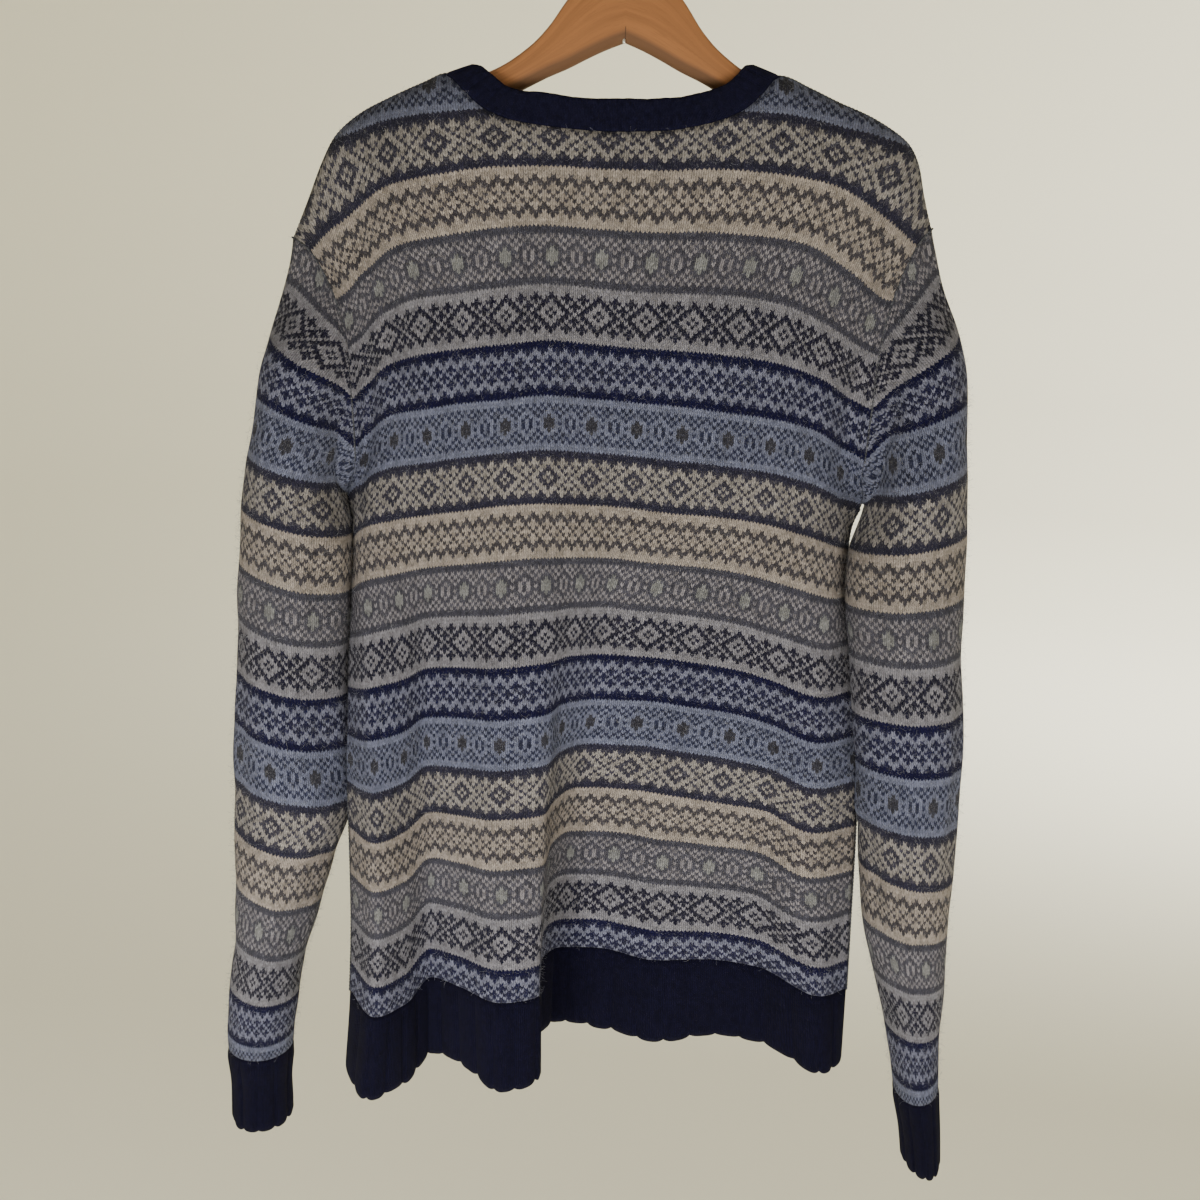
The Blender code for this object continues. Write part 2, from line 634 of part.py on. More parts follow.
def add_hem_piece(name, side, panel_normals, material):
    """A ribbed hem piece under a panel, on the panel's own columns."""
    column = back_column if side == "back" else front_column
    rows = np.array([BODY_END_ROW, 265.0, HEM_END_ROW])
    coarse = np.stack([column(float(key), rows) for key in PANEL_COLUMNS], axis=1)
    if side == "front":
        edges = [back_column(key, rows) for key in (0.0, 14.0)]
        coarse[:, 0], coarse[:, -1] = edges
    count = HEM_RIBS * 4 + 1
    positions = np.interp(
        np.linspace(0, 14, count), PANEL_COLUMNS, np.arange(len(PANEL_COLUMNS))
    )
    grid = np.stack([between_columns(line, positions) for line in coarse])
    sign = 1 if np.vdot(grid_normals(coarse, False)[0], panel_normals[-1]) > 0 else -1
    smooth = unit(grid_normals(coarse, False)) * sign
    smooth[0] = panel_normals[-1]
    smooth[:, 0], smooth[:, -1] = panel_normals[-1, 0], panel_normals[-1, -1]
    normals = unit(np.stack([between_columns(line, positions) for line in smooth]))
    rise = rib_profile(count)[None, :, None] * np.array([0.0, 1.0, 1.0])[:, None, None]
    rise[:, 0] = rise[:, -1] = 0.0
    grid = drawn_in(grid, False, ("top", "left", "right"))
    outward = RIB_WALL / 2 + rise * RIB_RISE
    points, faces = shell(grid, normals, outward, RIB_WALL / 2, False)
    add_solid(name, points, faces, material)


def add_cuff(name, table, outer_side, sleeve_normals, material):
    """A ribbed cuff under a sleeve, on the sleeve's own columns."""
    rows = (SLEEVE_END_ROW, 266.0, 272.0, 278.0, CUFF_END_ROW)
    coarse_count = sleeve_normals.shape[1]
    turns = np.arange(coarse_count + 1) * 2 * math.pi / coarse_count
    coarse = tube_grid(table, outer_side, rows, turns)
    count = coarse_count * CUFF_POINTS
    positions = np.arange(count) / CUFF_POINTS
    grid = np.stack([between_columns(line, positions) for line in coarse])
    centre = grid.mean(axis=1, keepdims=True)
    away = (grid - centre) * np.array([1.0, 1.0, 0.0])
    normals = unit(away)
    seam = np.concatenate([sleeve_normals[-1], sleeve_normals[-1, :1]])
    normals[0] = unit(between_columns(seam, positions))
    rise = rib_profile(count)[None, :, None]
    rise = rise * np.array([0.0, 1.0, 1.0, 1.0, 1.0])[:, None, None]
    grid = drawn_in(grid, True, ("top",))
    outward = RIB_WALL / 2 + rise * RIB_RISE
    points, faces = shell(grid, normals, outward, RIB_WALL / 2, True)
    add_solid(name, points, faces, material)


def bar_section(x, top, bottom, depth):
    """Eight points round the hanger's bar at one place along it."""
    half, bevel, low = depth / 2, BAR_BEVEL, BAR_BEVEL + BAR_TILT
    rim = [
        (-half, top - bevel), (-half + bevel, top), (half - bevel, top), (half, top - bevel),
        (half, bottom + bevel), (half - bevel, bottom), (-half + bevel, bottom),
        (-half, bottom + low),
    ]
    return [(x, y, z) for y, z in rim]


def add_hanger(material):
    """The wooden bar, one loft from tip to tip."""
    right = [bar_section(*place) for place in HANGER_BAR]
    left = [[(-x, y, z) for x, y, z in section] for section in right[:0:-1]]
    sections = left + right
    grid = np.array(sections)
    columns = grid.shape[1]
    faces = [tuple(face) for face in triangles_of(grid.shape[:2], True)]
    last = (len(sections) - 1) * columns
    for k in range(1, columns - 1):
        faces += [(0, k, k + 1), (last, last + k + 1, last + k)]
    side = np.array(faces)
    points = grid.reshape(-1, 3)
    if not caps_agree(side, columns):
        side[-2 * (columns - 2):] = side[-2 * (columns - 2):, ::-1]
    add_solid("hanger", points, side, material)


def caps_agree(faces, columns):
    """Whether the end caps turn the same way as the faces along the bar."""
    directed = {(int(a), int(b)) for a, b in faces[: -2 * (columns - 2), :2]}
    directed |= {(int(f[1]), int(f[2])) for f in faces[: -2 * (columns - 2)]}
    directed |= {(int(f[2]), int(f[0])) for f in faces[: -2 * (columns - 2)]}
    return (0, 1) not in directed


def add_hook(material):
    """The wire hook with the small collar that it stands on."""
    line = np.array([(x, 0.0, z) for x, z in HOOK_LINE])
    along = np.concatenate([[0], np.cumsum(np.linalg.norm(np.diff(line, axis=0), axis=1))])
    spots = np.concatenate([
        [0.0, COLLAR_HEIGHT, COLLAR_HEIGHT + 0.01],
        np.linspace(COLLAR_HEIGHT + 1.5, along[-1], 40),
    ])
    middle = curve(along, line, spots)
    radius = np.full(len(spots), WIRE_RADIUS)
    radius[:2] = COLLAR_RADIUS
    radius[-1] = WIRE_RADIUS * 0.6
    ahead = unit(np.gradient(middle, axis=0))
    ahead[:3] = (0.0, 0.0, 1.0)
    sideways = np.cross(ahead, np.array([0.0, 1.0, 0.0]))
    turns = np.linspace(0, 2 * math.pi, 12, endpoint=False)
    grid = np.array([
        [
            middle[i] + radius[i] * (math.cos(t) * sideways[i] + math.sin(t) * np.array([0, 1, 0]))
            for t in turns
        ]
        for i in range(len(spots))
    ])
    columns = grid.shape[1]
    points = np.concatenate([grid.reshape(-1, 3), middle[:1], middle[-1:]])
    faces = [tuple(face) for face in triangles_of(grid.shape[:2], True)]
    first, final = len(points) - 2, len(points) - 1
    last = (len(spots) - 1) * columns
    for k in range(columns):
        after = (k + 1) % columns
        faces += [(first, after, k), (final, last + k, last + after)]
    add_solid("hook", points, np.array(faces), material)


def main():
    """Builds every piece of the jumper and its hanger."""
    for body in list(bpy.data.objects):
        bpy.data.objects.remove(body, do_unlink=True)
    material = {name: material_of(name) for name in MATERIALS}
    grids = body_grids()
    signs = facing_out(grids)
    armpits = grids["back"][0][len(ARMHOLE_ROWS) - 1, [0, -1]]
    normals = shared_normals(grids, signs, armpits)
    add_cloth(grids, normals, material)
    add_hem_piece("hem_rib_back", "back", normals["back"], material["rib_knit"])
    add_hem_piece("hem_rib_front", "front", normals["front"], material["rib_knit"])
    add_cuff("cuff_left", LEFT_SLEEVE, -1, normals["sleeve_left"], material["rib_knit"])
    add_cuff("cuff_right", RIGHT_SLEEVE, 1, normals["sleeve_right"], material["rib_knit"])
    add_hanger(material["hanger_wood"])
    add_hook(material["hook_wire"])


main()
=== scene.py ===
"""Fair isle jumper on a wooden hanger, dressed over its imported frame.

Every piece is made in metres in the hanger's frame: the origin is the inside of the hook's
top, +Z is up and -Y is the side that the jumper's back faces. Tables are in millimetres and
in knitted rows.
"""

import math

import bpy
import numpy as np
from mathutils import Matrix, Vector


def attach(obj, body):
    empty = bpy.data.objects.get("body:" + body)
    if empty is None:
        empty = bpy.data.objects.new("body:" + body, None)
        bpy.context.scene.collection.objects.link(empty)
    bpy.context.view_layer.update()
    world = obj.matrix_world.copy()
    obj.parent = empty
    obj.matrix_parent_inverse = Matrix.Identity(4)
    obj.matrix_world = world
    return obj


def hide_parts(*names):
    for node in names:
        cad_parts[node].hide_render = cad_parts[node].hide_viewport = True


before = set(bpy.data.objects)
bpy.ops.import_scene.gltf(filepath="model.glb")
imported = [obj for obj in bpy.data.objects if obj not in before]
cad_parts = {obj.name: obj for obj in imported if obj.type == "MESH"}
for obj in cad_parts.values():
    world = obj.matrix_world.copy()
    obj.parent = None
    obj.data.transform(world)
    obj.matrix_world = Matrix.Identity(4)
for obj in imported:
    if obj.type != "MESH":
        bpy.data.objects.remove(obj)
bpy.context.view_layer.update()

bl_info = {
    "name": "Fair isle jumper",
    "version": (1, 0, 0),
    "blender": (4, 5, 0),
    "location": "View3D > Sidebar > Jumper",
    "description": "Builds a banded fair isle jumper on a wooden hanger",
    "category": "Object",
}

MM = 0.001
BODY = "root"
MIDDLE_KEY = 7.0
LAST_KEY = 14.0

# ---------------------------------------------------------------- rows and key lines

FIRST_LEVEL = 15
ARMPIT_ROW = 88.0
ARMPIT_FLARE = 7.0
FLARE_ROWS = 6.0
ARMPIT_HOLD_ROWS = 12
EDGE_KEYS = 0.9
EDGE_TOP_ROW = 10.5
BODY_END_ROW = 250.0
HEM_END_ROW = 280.0
SLEEVE_END_ROW = 260.0
CUFF_END_ROW = 283.0
LEVELS = (15, 45, 75, 105, 135, 165, 195, 225, 250, 280)
LEVEL_Z = (-196, -279, -358, -438, -517, -594, -671, -750, -818, -889)

# Key lines from left to right: edge, left lobe, its flank, valley, rise, middle lobe, its
# edge, tuck, recess, plain, swell, dip, right flank, right lobe, edge; a row for each level
BACK_ACROSS = (
    (-223, -211, -189, -163, -129, -89, -49, -12, 28, 68, 108, 145, 179, 205, 215),
    (-196, -184, -168, -143, -113, -81, -49, -14, 21, 55, 89, 121, 150, 178, 192),
    (-193, -181, -161, -138, -110, -81, -49, -17, 17, 51, 85, 116, 144, 172, 189),
    (-200, -189, -164, -137, -109, -81, -49, -19, 14, 48, 82, 114, 143, 168, 184),
    (-206, -181, -158, -139, -111, -83, -49, -25, -2, 33, 68, 102, 132, 163, 191),
    (-205, -178, -156, -140, -111, -82, -47, -33, -10, 27, 63, 100, 133, 165, 199),
    (-201, -173, -155, -137, -110, -80, -46, -38, -20, 18, 56, 93, 129, 164, 203),
    (-199, -172, -154, -136, -108, -77, -46, -44, -27, 9, 49, 87, 126, 168, 204),
    (-201, -174, -154, -136, -107, -76, -46, -47, -30, 8, 49, 92, 134, 177, 205),
    (-206, -180, -154, -136, -104, -74, -45, -49, -31, 7, 52, 98, 140, 184, 206),
)
BACK_DEPTH = (
    (-7, -14, -19, -24, -26, -26, -25, -24, -25, -26, -26, -25, -19, -12, -7),
    (-20, -23, -27, -30, -30, -28, -25, -22, -22, -24, -26, -30, -26, -22, -20),
    (-8, -19, -28, -32, -30, -27, -24, -20, -18, -20, -24, -28, -30, -20, -8),
    (-3, -24, -32, -31, -29, -27, -23, -18, -15, -17, -21, -26, -32, -26, -3),
    (-6, -40, -37, -28, -30, -32, -28, -18, -13, -15, -19, -23, -32, -40, -14),
    (-20, -54, -46, -32, -38, -44, -40, -24, -11, -14, -19, -22, -32, -46, -24),
    (-32, -68, -54, -37, -46, -56, -52, -30, -9, -14, -21, -23, -31, -52, -32),
    (-42, -80, -63, -42, -54, -70, -64, -34, -8, -14, -25, -24, -31, -58, -38),
    (-46, -86, -68, -45, -62, -80, -70, -36, -8, -15, -29, -25, -31, -60, -42),
    (-50, -92, -72, -47, -68, -89, -76, -38, -8, -17, -32, -25, -32, -62, -44),
)
BACK_DROP = (
    (61, 50, 33, 15, 7, 1, -1, 0, 0, -2, 0, 5, 20, 38, 45),
    (47, 35, 20, 9, 4, -1, -4, -2, 0, 0, 1, 6, 18, 34, 40),
    (40, 26, 13, 8, 3, 0, -4, -2, 0, 2, 5, 8, 14, 29, 38),
    (38, 21, 12, 7, 3, -1, -3, -2, 0, 3, 4, 7, 13, 22, 30),
    (34, 20, 14, 9, 6, 4, 1, 0, 0, 2, 4, 8, 14, 21, 24),
    (32, 24, 19, 12, 9, 8, 4, 0, 0, -1, 1, 4, 10, 18, 19),
    (30, 26, 23, 13, 11, 9, 6, 2, 0, -2, 0, 3, 5, 14, 16),
    (27, 23, 22, 11, 10, 9, 6, 1, 0, -3, -2, -1, 1, 9, 12),
    (22, 20, 20, 9, 7, 8, 6, -2, 0, -4, -3, -3, -1, 6, 10),
    (22, 19, 18, 7, 3, 11, 5, -2, 0, -2, 0, -3, -2, 4, 6),
)
# Shoulder line: key line, row, x, z
SHOULDER = (
    (0.0, 10.5, -237, -248),
    (1.0, 7.5, -225.5, -222),
    (1.5, 3.0, -214, -194.5),
    (1.9, -0.5, -205, -178.5),
    (2.4, -3.5, -187, -163),
    (3.0, -5.0, -168, -153),
    (4.0, -8.5, -139, -140),
    (4.28, -10.0, -127, -135),
    (7.0, -10.0, -8, -131),
    (9.95, -10.0, 110, -130),
    (10.5, -8.0, 133, -138),
    (11.0, -6.5, 152, -146),
    (11.6, -4.0, 179, -156.5),
    (12.2, 0.0, 206, -174),
    (12.6, 3.5, 213, -186.5),
    (13.0, 7.0, 218, -205),
    (14.0, 10.5, 226, -229),
)
# Neckline: key line, row of the back, row of the front
NECKLINE = (
    (4.28, -10.0, -10.0),
    (4.40, -8.7, -7.0),
    (4.60, -5.0, 1.0),
    (4.95, 0.5, 8.0),
    (5.50, 3.8, 15.5),
    (6.30, 5.3, 20.0),
    (7.10, 5.6, 21.5),
    (7.90, 5.2, 20.0),
    (8.70, 3.6, 15.5),
    (9.30, 0.0, 8.0),
    (9.65, -5.0, 1.0),
    (9.83, -8.7, -7.0),
    (9.95, -10.0, -10.0),
)
# Armhole: row, depth of the back's edge, depth of the front's edge
ARMHOLE = (
    (10.5, 0, 0),
    (15, -9, 10),
    (30, -17, 19),
    (45, -20, 23),
    (60, -20, 20),
    (76, -18, 12),
    (84, -12, 5),
    (88, -3, -3),
)
FRONT_DEPTH = ((15, 23), (45, 31), (75, 34), (105, 34), (165, 30), (225, 25), (280, 23))
FRONT_YOKE_DEPTH = 23.0
# Rows where the front leaves the back's form for its own, and how square its own form is
FRONT_OWN_ROW = 80.0
FRONT_OWN_FADE_ROWS = 35.0
FRONT_REACH_POWER = 0.8
FRONT_RISE_POWER = 0.55
FRONT_DROP_POWER = 3
FRONT_YOKE_POWER = 6
# Folds of the front: key line, half width in key lines, depth at the hem, first row
FRONT_FOLDS = (
    (2.9, 1.0, 15, 70),
    (5.4, 0.8, -6, 110),
    (7.9, 1.1, 11, 90),
    (10.9, 0.9, 17, 60),
)
# Stitches at a panel's edges, in repeats from its middle: row, key lines 0, 1, 13, 14
EDGE_WALES = (
    (-10, -6.3, -5.9, 5.9, 6.3),
    (15, -6.3, -5.8, 6.0, 6.3),
    (45, -6.1, -5.5, 6.0, 6.45),
    (75, -6.1, -5.65, 6.0, 6.55),
    (105, -7.2, -6.0, 6.0, 7.1),
    (280, -7.2, -6.0, 6.0, 7.1),
)
# The sleeve's own row and the way round it at the armhole's rows
ARMHOLE_ROWS = (10.5, 14.5, 19, 24, 30, 37, 45, 54, 65, 76, 84, 88)
CAP_ROWS = (33, 33.3, 34, 35.2, 37, 40.5, 46, 54, 65, 76, 84, 88)
CAP_TURN = (0, 24, 47, 72, 98, 124, 143, 154, 160, 165, 171, 180)
# Sleeves: row, middle x, half width, middle y, half depth, z, rise of the outer side
LEFT_SLEEVE = (
    (33, -226, 24, -4, 28, -279, 25),
    (47, -227.5, 26.5, -5, 32, -309, 20),
    (63.9, -230.8, 29.8, -6, 38, -345, 15.5),
    (78.8, -235, 31, -8, 43, -383, 12),
    (93.9, -241.8, 33.2, -10, 46, -424, 10.3),
    (108.4, -241.7, 37.8, -12, 47, -463, 11.1),
    (123.5, -244.6, 38.2, -13, 47, -506, 12.2),
    (138.6, -247.3, 38.5, -14, 46, -548, 12.1),
    (153.3, -248.8, 39.8, -14, 45, -590, 10.5),
    (168.2, -250.3, 42.3, -14, 44, -633, 11.3),
    (182.9, -250.5, 44.5, -14, 43, -679, 10.8),
    (198.2, -259, 38, -14, 42, -725, 11),
    (213.3, -266, 33, -14, 39, -773, 9.5),
    (228.3, -275, 27, -14, 36, -822, 7),
    (243, -282.5, 26.5, -14, 32, -866, 4),
    (257.5, -287, 26, -14, 28, -907, 2),
    (262.4, -287.5, 25.5, -14, 27, -921, 0.8),
    (273.2, -288, 23, -14, 25, -952, 0.4),
    (283, -288.5, 23.5, -14, 27, -984, 0),
)
RIGHT_SLEEVE = (
    (33, 216.5, 24, -4, 28, -262, 25),
    (47.3, 220.5, 27, -5, 32, -294, 22),
    (64, 229.5, 28.5, -6, 38, -333, 18),
    (78.4, 231.8, 29.8, -8, 43, -373, 13),
    (93.1, 233, 33, -10, 46, -420, 11),
    (107.7, 230.3, 39.8, -13, 47, -464, 8.5),
    (122.7, 231.3, 40.5, -16, 47, -508, 5.5),
    (137.3, 235.4, 39.2, -19, 46, -550, 3.2),
    (151.5, 240.3, 39.2, -22, 45, -592, 3),
    (166, 243.3, 38.2, -26, 44, -633, 1),
    (181.6, 245, 38, -30, 42, -681, -2),
    (197.3, 247, 36, -34, 40, -728, -4),
    (213.3, 250.5, 31.5, -37, 38, -776, -2),
    (229.2, 258, 25, -40, 35, -823, 0),
    (244.2, 264.5, 19.5, -42, 32, -867, 2.5),
    (258.9, 270.3, 16, -43, 30, -911, 6),
    (263.9, 272, 15.5, -43, 29, -924, 5.5),
    (273.9, 277.5, 14, -44, 27, -956, 3),
    (283, 281.7, 13.5, -44, 26, -987, 0),
)
CAP_BLEND_ROWS = (42.0, 6.0)
WAVES = 10
WAVE_PITCHES = (28.0, 75.0)
TURN_BLEND_ROWS = 60.0
LEAN = 5.0
LEAN_REACH = 8.0
LEAN_ROWS = (86.0, 186.0)
LEAN_FADE_ROWS = 9.0
SLEEVE_REPEATS = 8

# Soft creases laid on: where across, row, half width across, half length in rows,
# height (a trough is negative) and how far the crease leans across over its length
BACK_CREASES = (
    (0.95, 58, 0.50, 26, -6.0, 0.3),
    (13.1, 62, 0.45, 26, -5.0, -0.3),
    (2.1, 34, 0.30, 22, -2.6, 0.9),
    (3.0, 62, 0.34, 26, 2.0, 0.5),
    (11.7, 30, 0.28, 20, -2.4, -0.8),
    (12.3, 58, 0.34, 26, 2.2, -0.6),
    (0.9, 96, 0.26, 18, -2.4, 0.6),
    (13.1, 98, 0.28, 20, -2.2, -0.7),
    (4.7, 150, 0.40, 46, 1.8, 0.2),
    (9.6, 172, 0.50, 60, -1.8, 0.3),
    (11.2, 205, 0.40, 48, 2.0, -0.2),
    (8.6, 128, 0.34, 30, 1.4, 0.4),
    (6.3, 112, 0.40, 34, 1.6, -0.5),
)
FRONT_CREASES = (
    (1.9, 40, 0.32, 24, -2.4, 0.9),
    (12.0, 42, 0.32, 24, -2.6, -0.9),
    (1.2, 104, 0.30, 22, -2.2, 0.6),
    (12.7, 106, 0.30, 22, -2.4, -0.6),
    (4.3, 150, 0.55, 60, 2.4, 0.4),
    (6.8, 190, 0.60, 60, -2.4, -0.3),
    (9.3, 160, 0.55, 66, 2.6, -0.3),
    (7.2, 70, 0.70, 34, -1.6, 0.3),
)
SLEEVE_CREASES = (
    (0.20, 74, 0.035, 20, -2.4, 0.03),
    (0.31, 118, 0.030, 26, 2.0, -0.03),
    (0.12, 168, 0.030, 26, -2.4, 0.02),
    (0.40, 198, 0.035, 18, -2.6, -0.05),
    (0.28, 214, 0.030, 16, 2.0, 0.03),
    (0.66, 92, 0.040, 24, -2.4, 0.03),
    (0.80, 150, 0.035, 30, 2.2, -0.03),
    (0.70, 206, 0.035, 20, -2.6, 0.04),
    (0.90, 232, 0.035, 16, 2.0, 0.03),
)

# Hanger: distance from the middle, top z, bottom z, depth
HANGER_BAR = (
    (0, -60.0, -110, 13.0),
    (13, -60.5, -115, 13.0),
    (26, -68.0, -121, 13.0),
    (40, -83.0, -128, 13.0),
    (54, -102.0, -134, 13.0),
    (66, -114.0, -140, 13.0),
    (90, -129.5, -152, 12.0),
    (118, -139.5, -165, 11.0),
    (139, -146.0, -173, 11.0),
    (168, -160.0, -185, 11.0),
    (188, -173.0, -193, 10.0),
    (197, -181.0, -196, 8.5),
)
HOOK_LINE = (
    (0, -61.0), (0, -54), (0.8, -48), (5.5, -42.6), (12.5, -38.0), (18.5, -31.8),
    (21.6, -24.0), (21.7, -16.0), (18.4, -8.4), (12.4, -2.5), (4.4, 1.3), (-4.4, 1.3),
    (-12.4, -2.5), (-18.4, -8.4), (-21.6, -16.0), (-21.8, -23.5), (-20.4, -29.5),
)

# Loose hairs on each piece
DOWN_HAIRS = (
    ("knit_back", 10800),
    ("knit_front", 4500),
    ("knit_sleeve_left", 7600),
    ("knit_sleeve_right", 7600),
)

# Charts of the three kinds of band: diamonds, lattice and spots. Each line is a row, from the
# band's middle outward, and each mark a stitch, from the repeat's middle outward: both ways the
# band mirrors itself.
CHARTS = (
    (".#..##.", "#..##.#", "..##.##", ".##.#.#", "##.###.", "#...#.."),
    ("#...#..", ".#.#.#.", "..#...#", ".###.##", "##.###.", "#...#.."),
    ("##.#.#.", "##...#.", "#..#..#", "..#.#..", ".#.#.#.", "#.#.#.#"),
)
BAND_ROWS = 15
REPEAT = 12


# ---------------------------------------------------------------- shapes from tables


def curve(knots, values, at):
    """Values between knots, along a shape-keeping cubic."""
    knots = np.asarray(knots, float)
    values = np.asarray(values, float)
    at = np.clip(np.asarray(at, float), knots[0], knots[-1])
    steps = np.diff(knots)
    shape = (-1,) + (1,) * (values.ndim - 1)
    wide = steps.reshape(shape)
    rises = np.diff(values, axis=0) / wide
    before, after = rises[:-1], rises[1:]
    heavy = 2 * wide[1:] + wide[:-1]
    light = wide[1:] + 2 * wide[:-1]
    same_way = before * after > 0
    safe_before = np.where(same_way, before, 1.0)
    safe_after = np.where(same_way, after, 1.0)
    mean = (heavy + light) / (heavy / safe_before + light / safe_after)
    middle = np.where(same_way, mean, 0.0)
    slopes = np.concatenate([rises[:1], middle, rises[-1:]])
    cell = np.clip(np.searchsorted(knots, at, side="right") - 1, 0, len(steps) - 1)
    width = steps[cell].reshape(shape)
    part = ((at - knots[cell]) / steps[cell]).reshape(shape)
    start = (1 + 2 * part) * (1 - part) ** 2 * values[cell]
    end = part**2 * (3 - 2 * part) * values[cell + 1]
    lean_start = part * (1 - part) ** 2 * width * slopes[cell]
    lean_end = part**2 * (part - 1) * width * slopes[cell + 1]
    return start + end + lean_start + lean_end


def table_curve(table, at):
    """A table's columns at places along its first one, along a shape-keeping cubic."""
    table = np.asarray(table, float)
    return curve(table[:, 0], table[:, 1:], at)


def table_line(table, column, at):
    """One column of a table at places along its first one, along straight lines."""
    table = np.asarray(table, float)
    return np.interp(at, table[:, 0], table[:, column])


def ease(part):
    """A soft step from 0 to 1."""
    part = np.clip(part, 0.0, 1.0)
    return part * part * (3 - 2 * part)


def unit(vectors):
    """Vectors made one long."""
    return vectors / np.maximum(np.linalg.norm(vectors, axis=-1, keepdims=True), 1e-9)


def across_key_lines(table, at):
    """A level table read at key lines: one row for each level."""
    return curve(np.arange(len(table[0])), np.asarray(table, float).T, at).T


def shoulder_at(key):
    """Row, x and z of the shoulder line at one key line."""
    return table_curve(SHOULDER, [key])[0]


def edge_depth(side, rows):
    """Depth of a panel's edge, back or front, from the armhole down."""
    return table_line(ARMHOLE, 1 if side == "back" else 2, rows)


def round_over(rows, top_row):
    """How far the cloth has turned over the shoulder line, 0 to 1."""
    part = np.clip((rows - top_row) / (FIRST_LEVEL - top_row), 0.0, 1.0)
    return np.sqrt(1 - (1 - part) ** 2)


def back_column(key, rows):
    """Points of the back along one key line, at the given rows."""
    top_row, top_x, top_z = shoulder_at(key)
    level_x = across_key_lines(BACK_ACROSS, [key])[:, 0]
    level_y = across_key_lines(BACK_DEPTH, [key])[:, 0]
    level_z = np.asarray(LEVEL_Z, float) - across_key_lines(BACK_DROP, [key])[:, 0]
    knots = np.concatenate([[top_row], LEVELS])
    x = curve(knots, np.concatenate([[top_x], level_x]), rows)
    z = curve(knots, np.concatenate([[top_z], level_z]), rows)
    below = curve(LEVELS, level_y, rows)
    y = np.where(rows < FIRST_LEVEL, level_y[0] * round_over(rows, top_row), below)
    near_edge = float(ease(1 - min(key, LAST_KEY - key) / EDGE_KEYS))
    flare = ARMPIT_FLARE * near_edge * np.exp(-(((rows - ARMPIT_ROW) / FLARE_ROWS) ** 2))
    x = x + (flare if key > MIDDLE_KEY else -flare)
    hold = near_edge * ease((ARMPIT_ROW + ARMPIT_HOLD_ROWS - rows) / ARMPIT_HOLD_ROWS)
    y = y * (1 - hold) + edge_depth("back", rows) * hold
    return np.stack([x, y, z], axis=1)


def front_column(key, rows):
    """Points of the front along one key line: the back's above, its own form below."""
    top_row = shoulder_at(key)[0]
    twin = back_column(key, rows)
    left, right = back_column(0.0, rows), back_column(LAST_KEY, rows)
    share = key / MIDDLE_KEY - 1
    turn = share * math.pi / 2
    own = ease((rows - FRONT_OWN_ROW) / FRONT_OWN_FADE_ROWS)
    middle, half = (left[:, 0] + right[:, 0]) / 2, (right[:, 0] - left[:, 0]) / 2
    reach = math.copysign(abs(math.sin(turn)) ** FRONT_REACH_POWER, share)
    x = twin[:, 0] + (middle + half * reach - twin[:, 0]) * own
    edge = left if key < MIDDLE_KEY else right
    side_y = np.where(rows < ARMPIT_ROW, edge_depth("front", rows), edge[:, 1])
    depth = table_line(FRONT_DEPTH, 1, rows)
    upper_rise = 1 - abs(share) ** np.interp(rows, (15, 40), (6.0, 2.5))
    rise = upper_rise + (abs(math.cos(turn)) ** FRONT_RISE_POWER - upper_rise) * own
    y = side_y + (depth - side_y) * rise
    for fold_key, fold_half, fold_depth, start_row in FRONT_FOLDS:
        strength = ease((rows - start_row) / (HEM_END_ROW - start_row))
        y = y + fold_depth * strength * math.exp(-(((key - fold_key) / fold_half) ** 2))
    side_drop = np.interp(rows, LEVELS, LEVEL_Z) - edge[:, 2]
    own_z = np.interp(rows, LEVELS, LEVEL_Z) - side_drop * abs(math.sin(turn)) ** FRONT_DROP_POWER
    z = twin[:, 2] + (own_z - twin[:, 2]) * own
    brim = edge_depth("front", FIRST_LEVEL)
    yoke_y = brim + (FRONT_YOKE_DEPTH - brim) * (1 - abs(share) ** FRONT_YOKE_POWER)
    y = np.where(rows < FIRST_LEVEL, yoke_y * round_over(rows, top_row), y)
    return np.stack([x, y, z], axis=1)


def first_row(side, key):
    """The row that a panel's column starts at: the shoulder line or the neckline."""
    if NECKLINE[0][0] < key < NECKLINE[-1][0]:
        return float(table_curve(NECKLINE, [key])[0, 0 if side == "back" else 1])
    return float(shoulder_at(key)[0])


def sleeve_point(table, row, turn, outer_side):
    """A point round a sleeve at one row, turn in radians from its outer side."""
    middle_x, half_width, middle_y, half_depth, z, rise = table_curve(table, row).T
    x = middle_x + outer_side * half_width * np.cos(turn)
    y = middle_y - half_depth * np.sin(turn)
    return np.stack([x, y, z + rise * np.cos(turn)], axis=-1)


def armhole_point(key, near, back_side):
    """A point of the armhole, near counting its rows from the top."""
    row = np.array([np.interp(near, np.arange(len(ARMHOLE_ROWS)), ARMHOLE_ROWS)])
    point = back_column(key, row)[0]
    if not back_side:
        point[1] = edge_depth("front", row)[0]
    return point


def creased(grid, normals, across, rows, creases):
    """A grid with soft creases pressed into it."""
    lift = np.zeros(grid.shape[:2])
    for place, row, half_width, half_length, height, lean in creases:
        along = (rows - row) / half_length
        aside = (across - place - lean * along * 0.5) / half_width
        lift += height * np.exp(-(aside**2) - along**2)
    return grid + normals * lift[..., None]


def uneven(grid, normals, amount, seed):
    """A grid with the gentle unevenness of hand-washed knitting."""
    waves = np.random.RandomState(seed)
    lift = np.zeros(grid.shape[:2])
    for _ in range(WAVES):
        pitch = waves.uniform(*WAVE_PITCHES)
        way = unit(waves.normal(size=3))
        lift += np.sin(grid @ way * 2 * math.pi / pitch + waves.uniform(0, 6.3))
    return grid + normals * (lift * amount / 5)[..., None]


